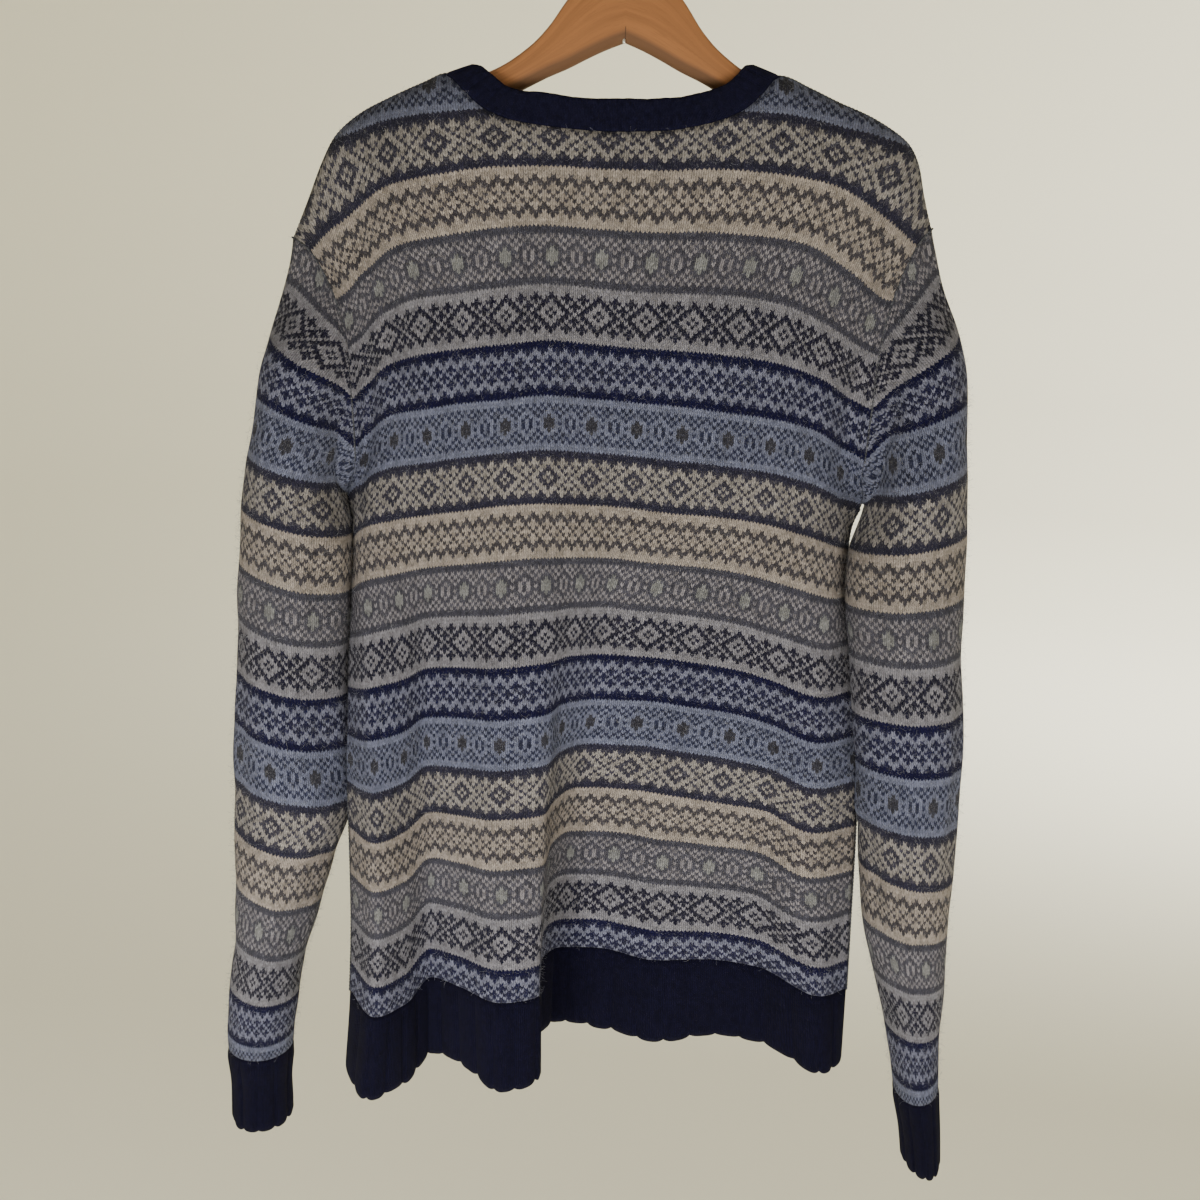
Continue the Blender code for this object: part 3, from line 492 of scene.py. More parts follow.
def grid_normals(grid, closed, outward):
    """Unit normals of a grid, turned to point outward."""
    down = np.gradient(grid, axis=0)
    if closed:
        aside = np.roll(grid, -1, axis=1) - np.roll(grid, 1, axis=1)
    else:
        aside = np.gradient(grid, axis=1)
    normals = unit(np.cross(aside, down))
    if (normals * outward).sum() < 0:
        normals = -normals
    return normals


# ---------------------------------------------------------------- meshes


def volume_sign(points, quads):
    """Whether a closed mesh of four-cornered faces points outward."""
    a, b, c, d = (points[quads[:, k]] for k in range(4))
    cross = np.einsum("ij,ij->i", a, np.cross(b, c)) + np.einsum("ij,ij->i", a, np.cross(c, d))
    return cross.sum()


def link_object(name, data, place=None):
    """An object in the scene."""
    thing = bpy.data.objects.new(name, data)
    if place:
        thing.location = place
    bpy.context.scene.collection.objects.link(thing)
    return thing


def add_mesh(name, points, quads, uvs, slots, materials):
    """One smooth piece from points in millimetres, with its own map of stitches."""
    if volume_sign(points, quads) < 0:
        quads, uvs = quads[:, ::-1], uvs[:, ::-1]
    mesh = bpy.data.meshes.new(name)
    mesh.vertices.add(len(points))
    mesh.vertices.foreach_set("co", (points * MM).astype(np.float32).ravel())
    mesh.loops.add(quads.size)
    mesh.loops.foreach_set("vertex_index", quads.astype(np.int32).ravel())
    mesh.polygons.add(len(quads))
    mesh.polygons.foreach_set("loop_start", np.arange(0, quads.size, 4, dtype=np.int32))
    mesh.polygons.foreach_set("material_index", slots.astype(np.int32))
    for material in materials:
        mesh.materials.append(material)
    layer = mesh.uv_layers.new(name="stitches")
    layer.data.foreach_set("uv", uvs.astype(np.float32).ravel())
    mesh.update(calc_edges=True)
    mesh.validate()
    mesh.shade_smooth()
    return link_object(name, mesh)


def corners(rows, columns, closed):
    """Grid places of each quad's corners: row and column numbers."""
    wide = columns if closed else columns - 1
    row, column = np.meshgrid(np.arange(rows - 1), np.arange(wide), indexing="ij")
    row, column = row.ravel(), column.ravel()
    rows_of = np.stack([row, row, row + 1, row + 1], axis=1)
    columns_of = np.stack([column, column + 1, column + 1, column], axis=1)
    return rows_of, columns_of


def rim_corners(rows, columns, closed):
    """Grid places along the rim of a wall, in order."""
    if closed:
        top = [(0, c) for c in range(columns + 1)]
        bottom = [(rows - 1, c) for c in range(columns, -1, -1)]
        return [top, bottom]
    loop = [(0, c) for c in range(columns)]
    loop += [(r, columns - 1) for r in range(1, rows)]
    loop += [(rows - 1, c) for c in range(columns - 2, -1, -1)]
    loop += [(r, 0) for r in range(rows - 2, -1, -1)]
    return [loop]


def add_wall(name, outer, inner, closed, stitches, rows_map, materials):
    """A closed wall between an outer and an inner grid. The maps have a column more if closed."""
    rows, columns = outer.shape[:2]
    size = rows * columns
    row_of, column_of = corners(rows, columns, closed)
    index = row_of * columns + column_of % columns
    uv = np.stack([stitches[row_of, column_of], rows_map[row_of, column_of]], axis=-1)
    quads = [index, index[:, ::-1] + size]
    uvs = [uv, uv[:, ::-1]]
    slots = [np.zeros(len(index)), np.full(len(index), len(materials) - 1)]
    for loop in rim_corners(rows, columns, closed):
        r, c = np.array(loop).T
        place = r * columns + c % columns
        rim = np.stack([place[1:], place[:-1], place[:-1] + size, place[1:] + size], axis=1)
        mapped = np.stack([stitches[r, c], rows_map[r, c]], axis=-1)
        rim_uv = np.stack([mapped[1:], mapped[:-1], mapped[:-1], mapped[1:]], axis=1)
        quads.append(rim)
        uvs.append(rim_uv)
        slots.append(np.zeros(len(rim)))
    points = np.concatenate([outer.reshape(-1, 3), inner.reshape(-1, 3)])
    return add_mesh(
        name, points, np.concatenate(quads), np.concatenate(uvs), np.concatenate(slots), materials
    )


def finish_piece(piece, slot, *nodes):
    """Rides a piece on the frame, in place of the solids that it is named for."""
    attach(piece, BODY)
    if nodes:
        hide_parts(*nodes)
    return piece


def cloth_area(grid, closed):
    """Area of a middle surface, in square metres."""
    row_of, column_of = corners(*grid.shape[:2], closed)
    columns = grid.shape[1]
    a, b, c, d = (grid[row_of[:, k], column_of[:, k] % columns] for k in range(4))
    first = np.linalg.norm(np.cross(b - a, c - a), axis=1)
    second = np.linalg.norm(np.cross(c - a, d - a), axis=1)
    return (first.sum() + second.sum()) / 2 * MM * MM


# ---------------------------------------------------------------- node trees


class Term:
    """An output in a node tree that sums are written with."""

    def __init__(self, socket):
        self.socket = socket

    def of(self, operation, *values):
        """A sum of this output and other values."""
        return math_term(self.socket.id_data, operation, self, *values)

    def between(self, low, high):
        """This output kept between two limits."""
        return self.of("MAXIMUM", low).of("MINIMUM", high)

    def __add__(self, other):
        return self.of("ADD", other)

    def __sub__(self, other):
        return self.of("SUBTRACT", other)

    def __rsub__(self, other):
        return math_term(self.socket.id_data, "SUBTRACT", other, self)

    def __mul__(self, other):
        return self.of("MULTIPLY", other)

    def __truediv__(self, other):
        return self.of("DIVIDE", other)

    def __abs__(self):
        return self.of("ABSOLUTE")


def feed(tree, node, inputs):
    """Links outputs and sets values into a node's inputs, by name or number."""
    for label, value in dict(inputs).items():
        value = value.socket if isinstance(value, Term) else value
        if isinstance(value, bpy.types.NodeSocket):
            tree.links.new(value, node.inputs[label])
        else:
            node.inputs[label].default_value = value


def add_node(tree, kind, inputs=(), **options):
    """A node with its options and its inputs."""
    node = tree.nodes.new(kind)
    for option, value in options.items():
        setattr(node, option, value)
    feed(tree, node, inputs)
    return node


def math_term(tree, operation, *values):
    """One sum in a tree: its values are outputs or numbers."""
    node = add_node(tree, "ShaderNodeMath", enumerate(values), operation=operation)
    return Term(node.outputs[0])


def vector_sum(tree, operation, *values):
    """One vector sum in a tree: its values are outputs or vectors."""
    return add_node(tree, "ShaderNodeVectorMath", enumerate(values), operation=operation).outputs[0]


def mix_color(tree, factor, first, second, blend="MIX"):
    """Two colours mixed by a factor."""
    inputs = {0: factor, 6: first, 7: second}
    return add_node(tree, "ShaderNodeMix", inputs, data_type="RGBA", blend_type=blend).outputs[2]


def noise(tree, place, scale, detail, **more):
    """A noise over a place."""
    inputs = {"Vector": place, "Scale": scale, "Detail": detail, **more}
    return add_node(tree, "ShaderNodeTexNoise", inputs).outputs


def object_place(tree):
    """Where a spot is in its object."""
    return add_node(tree, "ShaderNodeTexCoord").outputs["Object"]


def stitch_place(tree):
    """Where a spot is on its piece's own map."""
    return add_node(tree, "ShaderNodeUVMap", uv_map="stitches").outputs[0]


def split_place(tree, place):
    """The parts of a place."""
    return [Term(part) for part in add_node(tree, "ShaderNodeSeparateXYZ", {0: place}).outputs]


def opaque(color, share=1.0):
    """A colour, lighter or darker by a share, with nothing showing through."""
    return tuple(min(value * share, 1.0) for value in color) + (1.0,)


def steps_ramp(tree, factor, colors):
    """Colours in equal steps over a factor from 0 to 1."""
    node = add_node(tree, "ShaderNodeValToRGB", {0: factor})
    ramp = node.color_ramp
    ramp.interpolation = "CONSTANT"
    while len(ramp.elements) < len(colors):
        ramp.elements.new(0.999)
    for number, color in enumerate(colors):
        ramp.elements[number].position = number / len(colors)
        ramp.elements[number].color = color
    return node.outputs[0]


def new_group(kind, name, inputs, outputs):
    """An empty node group with labelled sockets of given kinds."""
    tree = bpy.data.node_groups.new(name, kind + "NodeTree")
    for way, sockets in (("INPUT", inputs), ("OUTPUT", outputs)):
        for label, socket in sockets.items():
            tree.interface.new_socket(label, in_out=way, socket_type="NodeSocket" + socket)
    return tree, tree.nodes.new("NodeGroupInput").outputs, tree.nodes.new("NodeGroupOutput")


def ready(store, name, build, *values):
    """The group or material of a name, built when it is first asked for."""
    return store.get(name) or build(name, *values)


# ---------------------------------------------------------------- materials

FRAY_SCALE = 800.0
WOOL_NOISES = ((900.0, 3.0, 0.0), (330.0, 2.0, 0.0), (14.0, 4.0, 0.0), (1100.0, 2.0, 1.5), (620.0, 1.0, 0.8))
WOOL_STRENGTHS = (1.5, 1.9, 0.9)
WISPS = (2.4, 1.21)
WISP_SHARES = (0.01, 0.24)
FLECKS = (8.0, 4.8)
LEG_LEAN = 0.7
LEG_POWER = 0.55
BULGE_POWER = 0.5
BULGE_SHARE = 0.45
KNIT_FRAY = (0.65, 0.65, 0.0)
KNIT_RELIEF = (0.0011, 0.75)
RIB_RELIEF = (0.0010, 0.7)
RIB_SHEEN = 0.3
LIGHT_HAIR = (0.34, 0.34, 0.35, 1.0)
DULL = {"Roughness": 0.95, "Specular IOR Level": 0.05}
BAND_NAMES = "abcdef"
CHART_LINES = 8
# Middles between whole stitches, rows or bands: the spot's edges, the motif's last row and
# the last band but one
SPOT_STITCHES = 1.5
SPOT_ROWS = 2.5
MOTIF_ROWS = 5.5
BEFORE_LAST_BAND = 4.5
CODE_RANGE = 128
HALF = 0.5


def stitch_group(name):
    """Knit stitches: the stitch and row that a spot belongs to, and the yarn's height there."""
    tree, given, result = new_group(
        "Shader", name, {"Map": "Vector", "Lean": "Float", "Fray": "Vector"},
        {"Stitch": "Float", "Row": "Float", "Height": "Float", "Chance": "Float"},
    )
    hairs = noise(tree, object_place(tree), FRAY_SCALE, 2.0)["Color"]
    spread = vector_sum(tree, "SUBTRACT", hairs, (HALF, HALF, HALF))
    strayed = vector_sum(tree, "MULTIPLY_ADD", spread, given["Fray"], given["Map"])
    across, down, _ = split_place(tree, strayed)
    stitch = across.of("FLOOR")
    aside = abs(across - stitch - HALF) * 2.0
    level = down + (aside - HALF) * given["Lean"]
    row = level.of("FLOOR")
    along = level - row
    leg = (aside * (1.0 - aside) * 4.0).of("MAXIMUM", 0.0001).of("POWER", LEG_POWER)
    bulge = (along * (1.0 - along) * 4.0).of("MAXIMUM", 0.0001).of("POWER", BULGE_POWER)
    place = add_node(tree, "ShaderNodeCombineXYZ", {0: stitch, 1: row}).outputs[0]
    chance = add_node(tree, "ShaderNodeTexWhiteNoise", {"Vector": place}, noise_dimensions="2D")
    height = leg * (bulge * BULGE_SHARE + (1.0 - BULGE_SHARE))
    feed(tree, result, {"Stitch": stitch, "Row": row, "Height": height, "Chance": chance.outputs["Value"]})
    return tree


def chart_code(line):
    """One chart line as a number, a bit for each stitch."""
    return sum(2**place for place, mark in enumerate(line) if mark == "#")


def chart_group(name, settings):
    """Fair isle bands: the colour of the stitch in front and of the one carried behind."""
    tree, given, result = new_group(
        "Shader", name, {"Stitch": "Float", "Row": "Float"}, {"Front": "Color", "Behind": "Color"}
    )
    stitch, row = Term(given["Stitch"]), Term(given["Row"])
    around = stitch.of("FLOORED_MODULO", REPEAT)
    away = around.of("MINIMUM", REPEAT - around)
    band = ((row + HALF) / BAND_ROWS).of("FLOOR")
    off_middle = abs(row - band * BAND_ROWS - BAND_ROWS // 2)
    number, kind = (band.of("FLOORED_MODULO", count) for count in (len(BAND_NAMES), len(CHARTS)))
    codes = [opaque([chart_code(chart[line]) / CODE_RANGE for chart in CHARTS]) for line in range(6)]
    codes += [opaque((0.0, 0.0, 0.0))] * (CHART_LINES - len(codes))
    lines = steps_ramp(tree, (off_middle + HALF) / CHART_LINES, codes)
    parts = add_node(tree, "ShaderNodeSeparateColor", {0: lines}).outputs
    is_kind = [kind.of("COMPARE", place, 0.25) for place in range(len(CHARTS))]
    chosen = Term(parts[0]) * is_kind[0] + Term(parts[1]) * is_kind[1] + Term(parts[2]) * is_kind[2]
    code = chosen * CODE_RANGE + HALF
    mark = (code / math_term(tree, "POWER", 2.0, away)).of("FLOOR").of("FLOORED_MODULO", 2.0)
    grounds, motifs = (
        steps_ramp(
            tree, (number + HALF) / len(BAND_NAMES),
            [opaque(getattr(settings, f"{yarn}_{letter}")) for letter in BAND_NAMES],
        )
        for yarn in ("ground", "motif")
    )
    spot = away.of("LESS_THAN", SPOT_STITCHES) * off_middle.of("LESS_THAN", SPOT_ROWS) * is_kind[2]
    last = number.of("GREATER_THAN", BEFORE_LAST_BAND)
    spots = mix_color(tree, last, opaque(settings.spot_c), opaque(settings.spot_f))
    motifs = mix_color(tree, spot, motifs, spots)
    plain = mark.of("MAXIMUM", off_middle.of("GREATER_THAN", MOTIF_ROWS))
    front, behind = mix_color(tree, mark, grounds, motifs), mix_color(tree, plain, motifs, grounds)
    feed(tree, result, {"Front": front, "Behind": behind})
    return tree


def yarn_group(name):
    """Spun wool: heathered colour, with shade painted into the hollows between the stitches, and its height
    for a bump.
    """
    labels = ("Height", "Chance", "Hollow shade", "Heather", "Fleck")
    tree, given, result = new_group(
        "Shader", name, {"Color": "Color", "Stray": "Color", **dict.fromkeys(labels, "Float")},
        {"Color": "Color", "Height": "Float"},
    )
    where = object_place(tree)
    fibre, tuft, cloud, wisp, fleck = (
        Term(noise(tree, where, scale, detail, Distortion=twist)["Fac"])
        for scale, detail, twist in WOOL_NOISES
    )
    height, chance, hollow_shade, heather, fleck_share = (Term(given[label]) for label in labels)
    # Painted shade: the colour darkens where the yarn is low, in the hollows between the stitches
    shade = 1.0 - (1.0 - height) * hollow_shade
    total = chance - HALF
    for term, strength in zip((fibre, tuft, cloud), WOOL_STRENGTHS):
        total = (term - HALF) * strength + total
    level = shade * (total * heather + 1.0).of("MAXIMUM", 0.1)
    gray = add_node(tree, "ShaderNodeCombineXYZ", {0: level, 1: level, 2: level}).outputs[0]
    wisps = (wisp * WISPS[0] - WISPS[1]).between(*WISP_SHARES)
    flecks = (fleck * FLECKS[0] - FLECKS[1]).between(0.0, 1.0) * fleck_share
    yarn = mix_color(tree, wisps, given["Color"], given["Stray"])
    yarn = mix_color(tree, flecks, yarn, LIGHT_HAIR)
    color = mix_color(tree, 1.0, yarn, gray, "MULTIPLY")
    feed(tree, result, {"Color": color, "Height": (fibre - HALF) * 0.25 + height})
    return tree


def new_material(name):
    """A material, its tree and its surface shader."""
    material = bpy.data.materials.new(name)
    material.use_nodes = True
    return material, material.node_tree, material.node_tree.nodes["Principled BSDF"]


def bump(tree, shader, height, distance, strength):
    """A bump on a shader from a height."""
    inputs = {"Height": height, "Distance": distance, "Strength": strength}
    feed(tree, shader, {"Normal": add_node(tree, "ShaderNodeBump", inputs).outputs[0]})


def stitches_in(tree, **inputs):
    """The stitch group's outputs in a material."""
    group = ready(bpy.data.node_groups, "Knit stitches", stitch_group)
    inputs = {"Map": stitch_place(tree), "Lean": LEG_LEAN, **inputs}
    return add_node(tree, "ShaderNodeGroup", inputs, node_tree=group).outputs


def wool_over(tree, shader, settings, stitch, relief, sheen, inputs):
    """Spun wool's colour, relief and dull, downy finish over stitches."""
    group = ready(bpy.data.node_groups, "Spun wool", yarn_group)
    inputs = {
        "Height": stitch["Height"], "Chance": stitch["Chance"], "Hollow shade": settings.hollow_shade,
        "Heather": settings.heather, **inputs,
    }
    wool = add_node(tree, "ShaderNodeGroup", inputs, node_tree=group).outputs
    bump(tree, shader, wool["Height"], *relief)
    finish = {"Base Color": wool["Color"], "Sheen Weight": sheen, "Sheen Roughness": 0.6, **DULL}
    feed(tree, shader, finish)


def knit_material(name, settings, reverse):
    """The banded knitting, from its right side or from behind."""
    material, tree, shader = new_material(name)
    stitch = stitches_in(tree, Fray=KNIT_FRAY)
    group = ready(bpy.data.node_groups, "Fair isle bands", chart_group, settings)
    places = {label: stitch[label] for label in ("Stitch", "Row")}
    chart = add_node(tree, "ShaderNodeGroup", places, node_tree=group).outputs
    side, other = ("Behind", "Front") if reverse else ("Front", "Behind")
    colors = {"Color": chart[side], "Stray": chart[other], "Fleck": 0.14}
    wool_over(tree, shader, settings, stitch, KNIT_RELIEF, settings.sheen, colors)
    return material


def rib_material(name, settings, color):
    """The plain dark yarn of the ribs, in the colour given; the neckband's copy is made lighter, with
    painted light.
    """
    material, tree, shader = new_material(name)
    colors = {"Color": opaque(color), "Stray": opaque(color, 3)}
    wool_over(tree, shader, settings, stitches_in(tree), RIB_RELIEF, settings.sheen * RIB_SHEEN, colors)
    return material


def plain_yarn_material(name, color):
    """One yarn of a single heathered colour, for seams and loose hairs."""
    material, tree, shader = new_material(name)
    twist = Term(noise(tree, object_place(tree), 500.0, 3.0)["Fac"])
    factor = ((twist - HALF) * 3.0 + HALF).between(0.0, 1.0)
    mixed = mix_color(tree, factor, opaque(color, 0.45), opaque(color, 1.7))
    feed(tree, shader, {"Base Color": mixed, **DULL})
    bump(tree, shader, twist, 0.0004, 0.6)
    return material


WOOD_NOISES = (
    ((6.0, 90.0, 1.0), 5.0, {"Roughness": 0.6, "Distortion": 0.6}),
    ((60.0, 900.0, 1.0), 2.0, {}),
)
DARK_GRAIN = 0.62
# Painted shade: shares of the wood's colour on the bar's rounded underside, and the width over which that
# shade fades in
UNDERSIDE_SHADE = (0.36, 0.42, 0.55)
UNDERSIDE_SHADE_FADE = 0.0035
JOINT_HALF_WIDTH = 0.00035
JOINT_TOP = -0.1005
JOINT_COLOR = (0.03, 0.015, 0.008, 1.0)


def wood_material(name, settings, belly):
    """Clear-varnished wood with its grain along the arms, with shade painted on its underside."""
    material, tree, shader = new_material(name)
    uv = stitch_place(tree)
    grain = []
    for size, detail, more in WOOD_NOISES:
        place = add_node(tree, "ShaderNodeMapping", {0: uv, "Scale": size}).outputs[0]
        grain.append(Term(noise(tree, place, 1.0, detail, **more)["Fac"]))
    rings, pores = grain
    light, dark = opaque(settings.wood_color), opaque(settings.wood_color, DARK_GRAIN)
    color = mix_color(tree, ((rings - 0.32) * 2.6).between(0.0, 1.0), dark, light)
    color = mix_color(tree, pores.of("LESS_THAN", 0.40) * 0.35, color, dark)
    round_bar = split_place(tree, uv)[1]
    # Painted shade: the rounded underside, between the belly's edges on the bar's map, is darkened as if
    # shaded from light above, and made rougher
    inward = (round_bar - belly[0]).of("MINIMUM", belly[1] - round_bar)
    shaded_underside = (inward / UNDERSIDE_SHADE_FADE).between(0.0, 1.0)
    underside_shade_color = opaque(value * share for value, share in zip(settings.wood_color, UNDERSIDE_SHADE))
    color = mix_color(tree, shaded_underside, color, underside_shade_color)
    across, _, up = split_place(tree, object_place(tree))
    joint = abs(across).of("LESS_THAN", JOINT_HALF_WIDTH) * up.of("LESS_THAN", JOINT_TOP)
    color = mix_color(tree, joint * 0.7, color, JOINT_COLOR)
    bump(tree, shader, pores * 0.5 + rings, 0.0003, 0.35)
    feed(tree, shader, {"Base Color": color, "Roughness": shaded_underside * 0.25 + 0.55, "Specular IOR Level": 0.25})
    return material


def wire_material(name):
    """Polished steel wire with faint drawing marks."""
    material, tree, shader = new_material(name)
    marks = Term(noise(tree, object_place(tree), 700.0, 2.0)["Fac"])
    color = mix_color(tree, marks, (0.55, 0.54, 0.52, 1.0), (0.78, 0.77, 0.74, 1.0))
    feed(tree, shader, {"Base Color": color, "Roughness": marks * 0.25 + 0.16, "Metallic": 1.0})
    bump(tree, shader, marks, 0.0001, 0.2)
    return material


# ---------------------------------------------------------------- the knitted pieces

UP = np.array([0.0, 0.0, 1.0])
LEVEL = np.array([1.0, 1.0, 0.0])
CAP_STEPS = 11
RIB_STEPS = 18
RIB_SHARPNESS = 3.0
RIB_END_START = 0.93
RIB_END_SPAN = 0.08
HEM_POINTS = 10
CUFF_POINTS = 12
NECK_POINTS = 8
NECK_ROWS = 9
NECK_STEPS = 12
NECK_LEAN = 21
NECK_DROP = 13.5
NECK_WAVE = 0.6
NECK_WAVE_POINTS = 12
NECK_SEED = 25


def facing(side):
    """Which way a panel faces."""
    return np.array([0.0, -1.0 if side == "back" else 1.0, 0.0])


def column_of(side):
    """The function that gives a panel's columns."""
    return back_column if side == "back" else front_column


def softened(grid, normals, across, rows, creases, calm, settings, seed):
    """A grid with its creases and unevenness, less of them where it is calm."""
    moved = creased(grid, normals, across, rows, creases)
    moved = uneven(moved, normals, settings.unevenness / MM, seed)
    return grid + (moved - grid) * calm[..., None]


def add_knit(name, node, grid, normals, closed, stitches, rows, settings):
    """A knitted wall on its middle surface, banded outside and reversed inside."""
    half = settings.wall / MM / 2
    materials = [
        ready(bpy.data.materials, "fair_isle_knit", knit_material, settings, False),
        ready(bpy.data.materials, "fair_isle_reverse", knit_material, settings, True),
    ]
    outer, inner = grid + normals * half, grid - normals * half
    piece = add_wall(name, outer, inner, closed, stitches, rows, materials)
    finish_piece(piece, "knit", node)
    return piece, cloth_area(grid, closed)


def panel_keys(count):
    """Key lines of a panel's columns, some of them on the neck's corners."""
    keys = np.linspace(0, LAST_KEY, count)
    for corner in (NECKLINE[0][0], NECKLINE[-1][0]):
        keys[np.argmin(abs(keys - corner))] = corner
    return keys


def panel_grids(side, column_count, row_count):
    """Middle surface of a panel with the key line and row of each point."""
    keys = panel_keys(column_count)
    part = np.linspace(0, 1, row_count)
    tops = [first_row(side, key) for key in keys]
    rows = np.stack([top + part * (BODY_END_ROW - top) for top in tops], axis=1)
    grid = np.stack([column_of(side)(float(key), rows[:, k]) for k, key in enumerate(keys)], axis=1)
    return grid, np.broadcast_to(keys, rows.shape), rows


def back_wales(keys, rows):
    """Stitches from the middle of the back, at key lines and rows."""
    ends = [table_line(EDGE_WALES, column, rows) for column in range(1, 5)]
    wale = keys - MIDDLE_KEY
    wale = np.where(keys < 1, ends[0] + (ends[1] - ends[0]) * keys, wale)
    wale = np.where((keys >= 1) & (keys < 2), ends[1] + (-5 - ends[1]) * (keys - 1), wale)
    wale = np.where((keys > 12) & (keys <= 13), 5 + (ends[2] - 5) * (keys - 12), wale)
    wale = np.where(keys > 13, ends[2] + (ends[3] - ends[2]) * (keys - 13), wale)
    return wale * REPEAT


def front_wales(grid, rows):
    """Stitches from the middle of the front, even along each row of points."""
    steps = np.linalg.norm(np.diff(grid, axis=1), axis=2)
    run = np.concatenate([np.zeros((len(grid), 1)), np.cumsum(steps, axis=1)], axis=1)
    share = run / run[:, -1:]
    left, right = (table_line(EDGE_WALES, column, rows) for column in (1, 4))
    return (left + (right - left) * share) * REPEAT


def add_panel(side, creases, seed, settings):
    """The back or the front, from shoulder to hem."""
    grid, keys, rows = panel_grids(side, settings.panel_columns, settings.panel_rows)
    normals = grid_normals(grid, False, facing(side))
    stitches = back_wales(keys, rows) if side == "back" else front_wales(grid, rows)
    edge = np.minimum(keys, LAST_KEY - keys) * 1.4
    calm = ease(edge) * ease((BODY_END_ROW - rows) / 10) * ease((rows - rows[0]) / 8)
    grid = softened(grid, normals, keys, rows, creases, calm, settings, seed)
    return add_knit(f"knit_{side}", side, grid, normals, False, stitches, rows, settings)


def sleeve_grids(table, outer_side, column_count, row_count):
    """Middle surface of a sleeve with the way round it and the row of each point."""
    key = 0.0 if outer_side < 0 else LAST_KEY
    part = np.linspace(0, 1, row_count)
    lines, row_lines = [], []
    for index in range(column_count):
        around = index / column_count
        near = 2 * CAP_STEPS * min(around, 1 - around)
        seam_turn = math.radians(np.interp(near, np.arange(CAP_STEPS + 1), CAP_TURN))
        if around > 0.5:
            seam_turn = 2 * math.pi - seam_turn
        start_row = float(np.interp(near, np.arange(CAP_STEPS + 1), CAP_ROWS))
        start = sleeve_point(table, np.array([start_row]), np.array([seam_turn]), outer_side)[0]
        offset = armhole_point(key, near, around <= 0.5) - start
        blend_rows = np.interp(near / CAP_STEPS, (0, 1), CAP_BLEND_ROWS)
        rows = start_row + part * (SLEEVE_END_ROW - start_row)
        turned = ease((rows - start_row) / TURN_BLEND_ROWS)
        turn = seam_turn + (2 * math.pi * around - seam_turn) * turned
        held = 1 - ease((rows - start_row) / blend_rows)
        lines.append(sleeve_point(table, rows, turn, outer_side) + offset * held[:, None])
        row_lines.append(rows)
    return np.stack(lines, axis=1), np.stack(row_lines, axis=1)


def leaning_on_body(grid, rows, outer_side):
    """A sleeve whose inner edge rests softly against the body below the armpit."""
    outward = grid[:, :, 0] * outer_side
    near = np.exp(-(((outward - outward.min(axis=1, keepdims=True)) / LEAN_REACH) ** 2))
    along = ease((rows - LEAN_ROWS[0]) / LEAN_FADE_ROWS) * ease((LEAN_ROWS[1] - rows) / LEAN_FADE_ROWS)
    leaned = grid.copy()
    leaned[:, :, 0] -= outer_side * LEAN * near * along
    return leaned


def wrapped(values, extra):
    """A closed map with its first column again at its end, moved on by a whole turn."""
    return np.concatenate([values, values[:, :1] + extra], axis=1)


def add_sleeve(side, table, outer_side, phase, seed, settings):
    """A sleeve, from armhole to cuff."""
    count = SLEEVE_REPEATS * REPEAT
    grid, rows = sleeve_grids(table, outer_side, count, settings.sleeve_rows)
    centre = grid.mean(axis=1, keepdims=True)
    normals = grid_normals(grid, True, grid - centre)
    around = np.broadcast_to(np.arange(count) / count, rows.shape)
    calm = ease((rows - rows[0]) / 10) * ease((SLEEVE_END_ROW - rows) / 8)
    grid = softened(grid, normals, around, rows, SLEEVE_CREASES, calm, settings, seed)
    grid = leaning_on_body(grid, rows, outer_side)
    stitches = wrapped(around * count * -outer_side + phase, -outer_side * float(count))
    name = f"sleeve_{side}"
    return add_knit(f"knit_{name}", name, grid, normals, True, stitches, wrapped(rows, 0.0), settings)


def rib_height(ribs, sharp):
    """Height of the ribs, 0 to 1, from the count of ribs so far."""
    inside = ribs - np.floor(ribs)
    return 1 - np.abs(2 * inside - 1) ** sharp


def add_rib_piece(name, node, grid, normals, closed, ribs, row_steps, stitches_a_rib, rise, settings):
    """A ribbed piece: its ribs are raised in the outer wall over a plain inside."""
    rows = np.broadcast_to(row_steps[:, None], ribs.shape)
    columns = grid.shape[1]
    part = ((rows - rows[0]) / (rows[-1] - rows[0]))[:, :columns]
    lift = rib_height(ribs[:, :columns], RIB_SHARPNESS) * ease(part * 6)
    thin = settings.rib_wall / MM / 2
    turned = np.clip((part - RIB_END_START) / RIB_END_SPAN, 0, 1)
    edge_round = np.sqrt(np.clip(1 - turned**2, 0.05, 1))
    outer = grid + normals * ((thin + rise / MM * lift) * edge_round)[..., None]
    inner = grid - normals * thin * edge_round[..., None] * 0.9
    # Painted light: the neckband is the same navy yarn as the hem and cuffs, given a lighter colour to paint
    # in the light that it catches
    if node == "neckband":
        material = ready(bpy.data.materials, "neck_rib_yarn", rib_material, settings, settings.neck_painted_light_color)
    else:
        material = ready(bpy.data.materials, "rib_yarn", rib_material, settings, settings.rib_color)
    piece = add_wall(name, outer, inner, closed, ribs * stitches_a_rib, rows, [material])
    finish_piece(piece, "rib_knit", node)
    return piece, cloth_area(grid, closed)


def rib_ends(ribs, part, seed):
    """How far each rib's end hangs below the furrows beside it, more at some ribs than at others."""
    drops = np.random.default_rng(seed).uniform(0.9, 3.2, 64)
    own = drops[np.floor(ribs).astype(int) % len(drops)]
    return own * part**6 * rib_height(ribs, RIB_SHARPNESS)


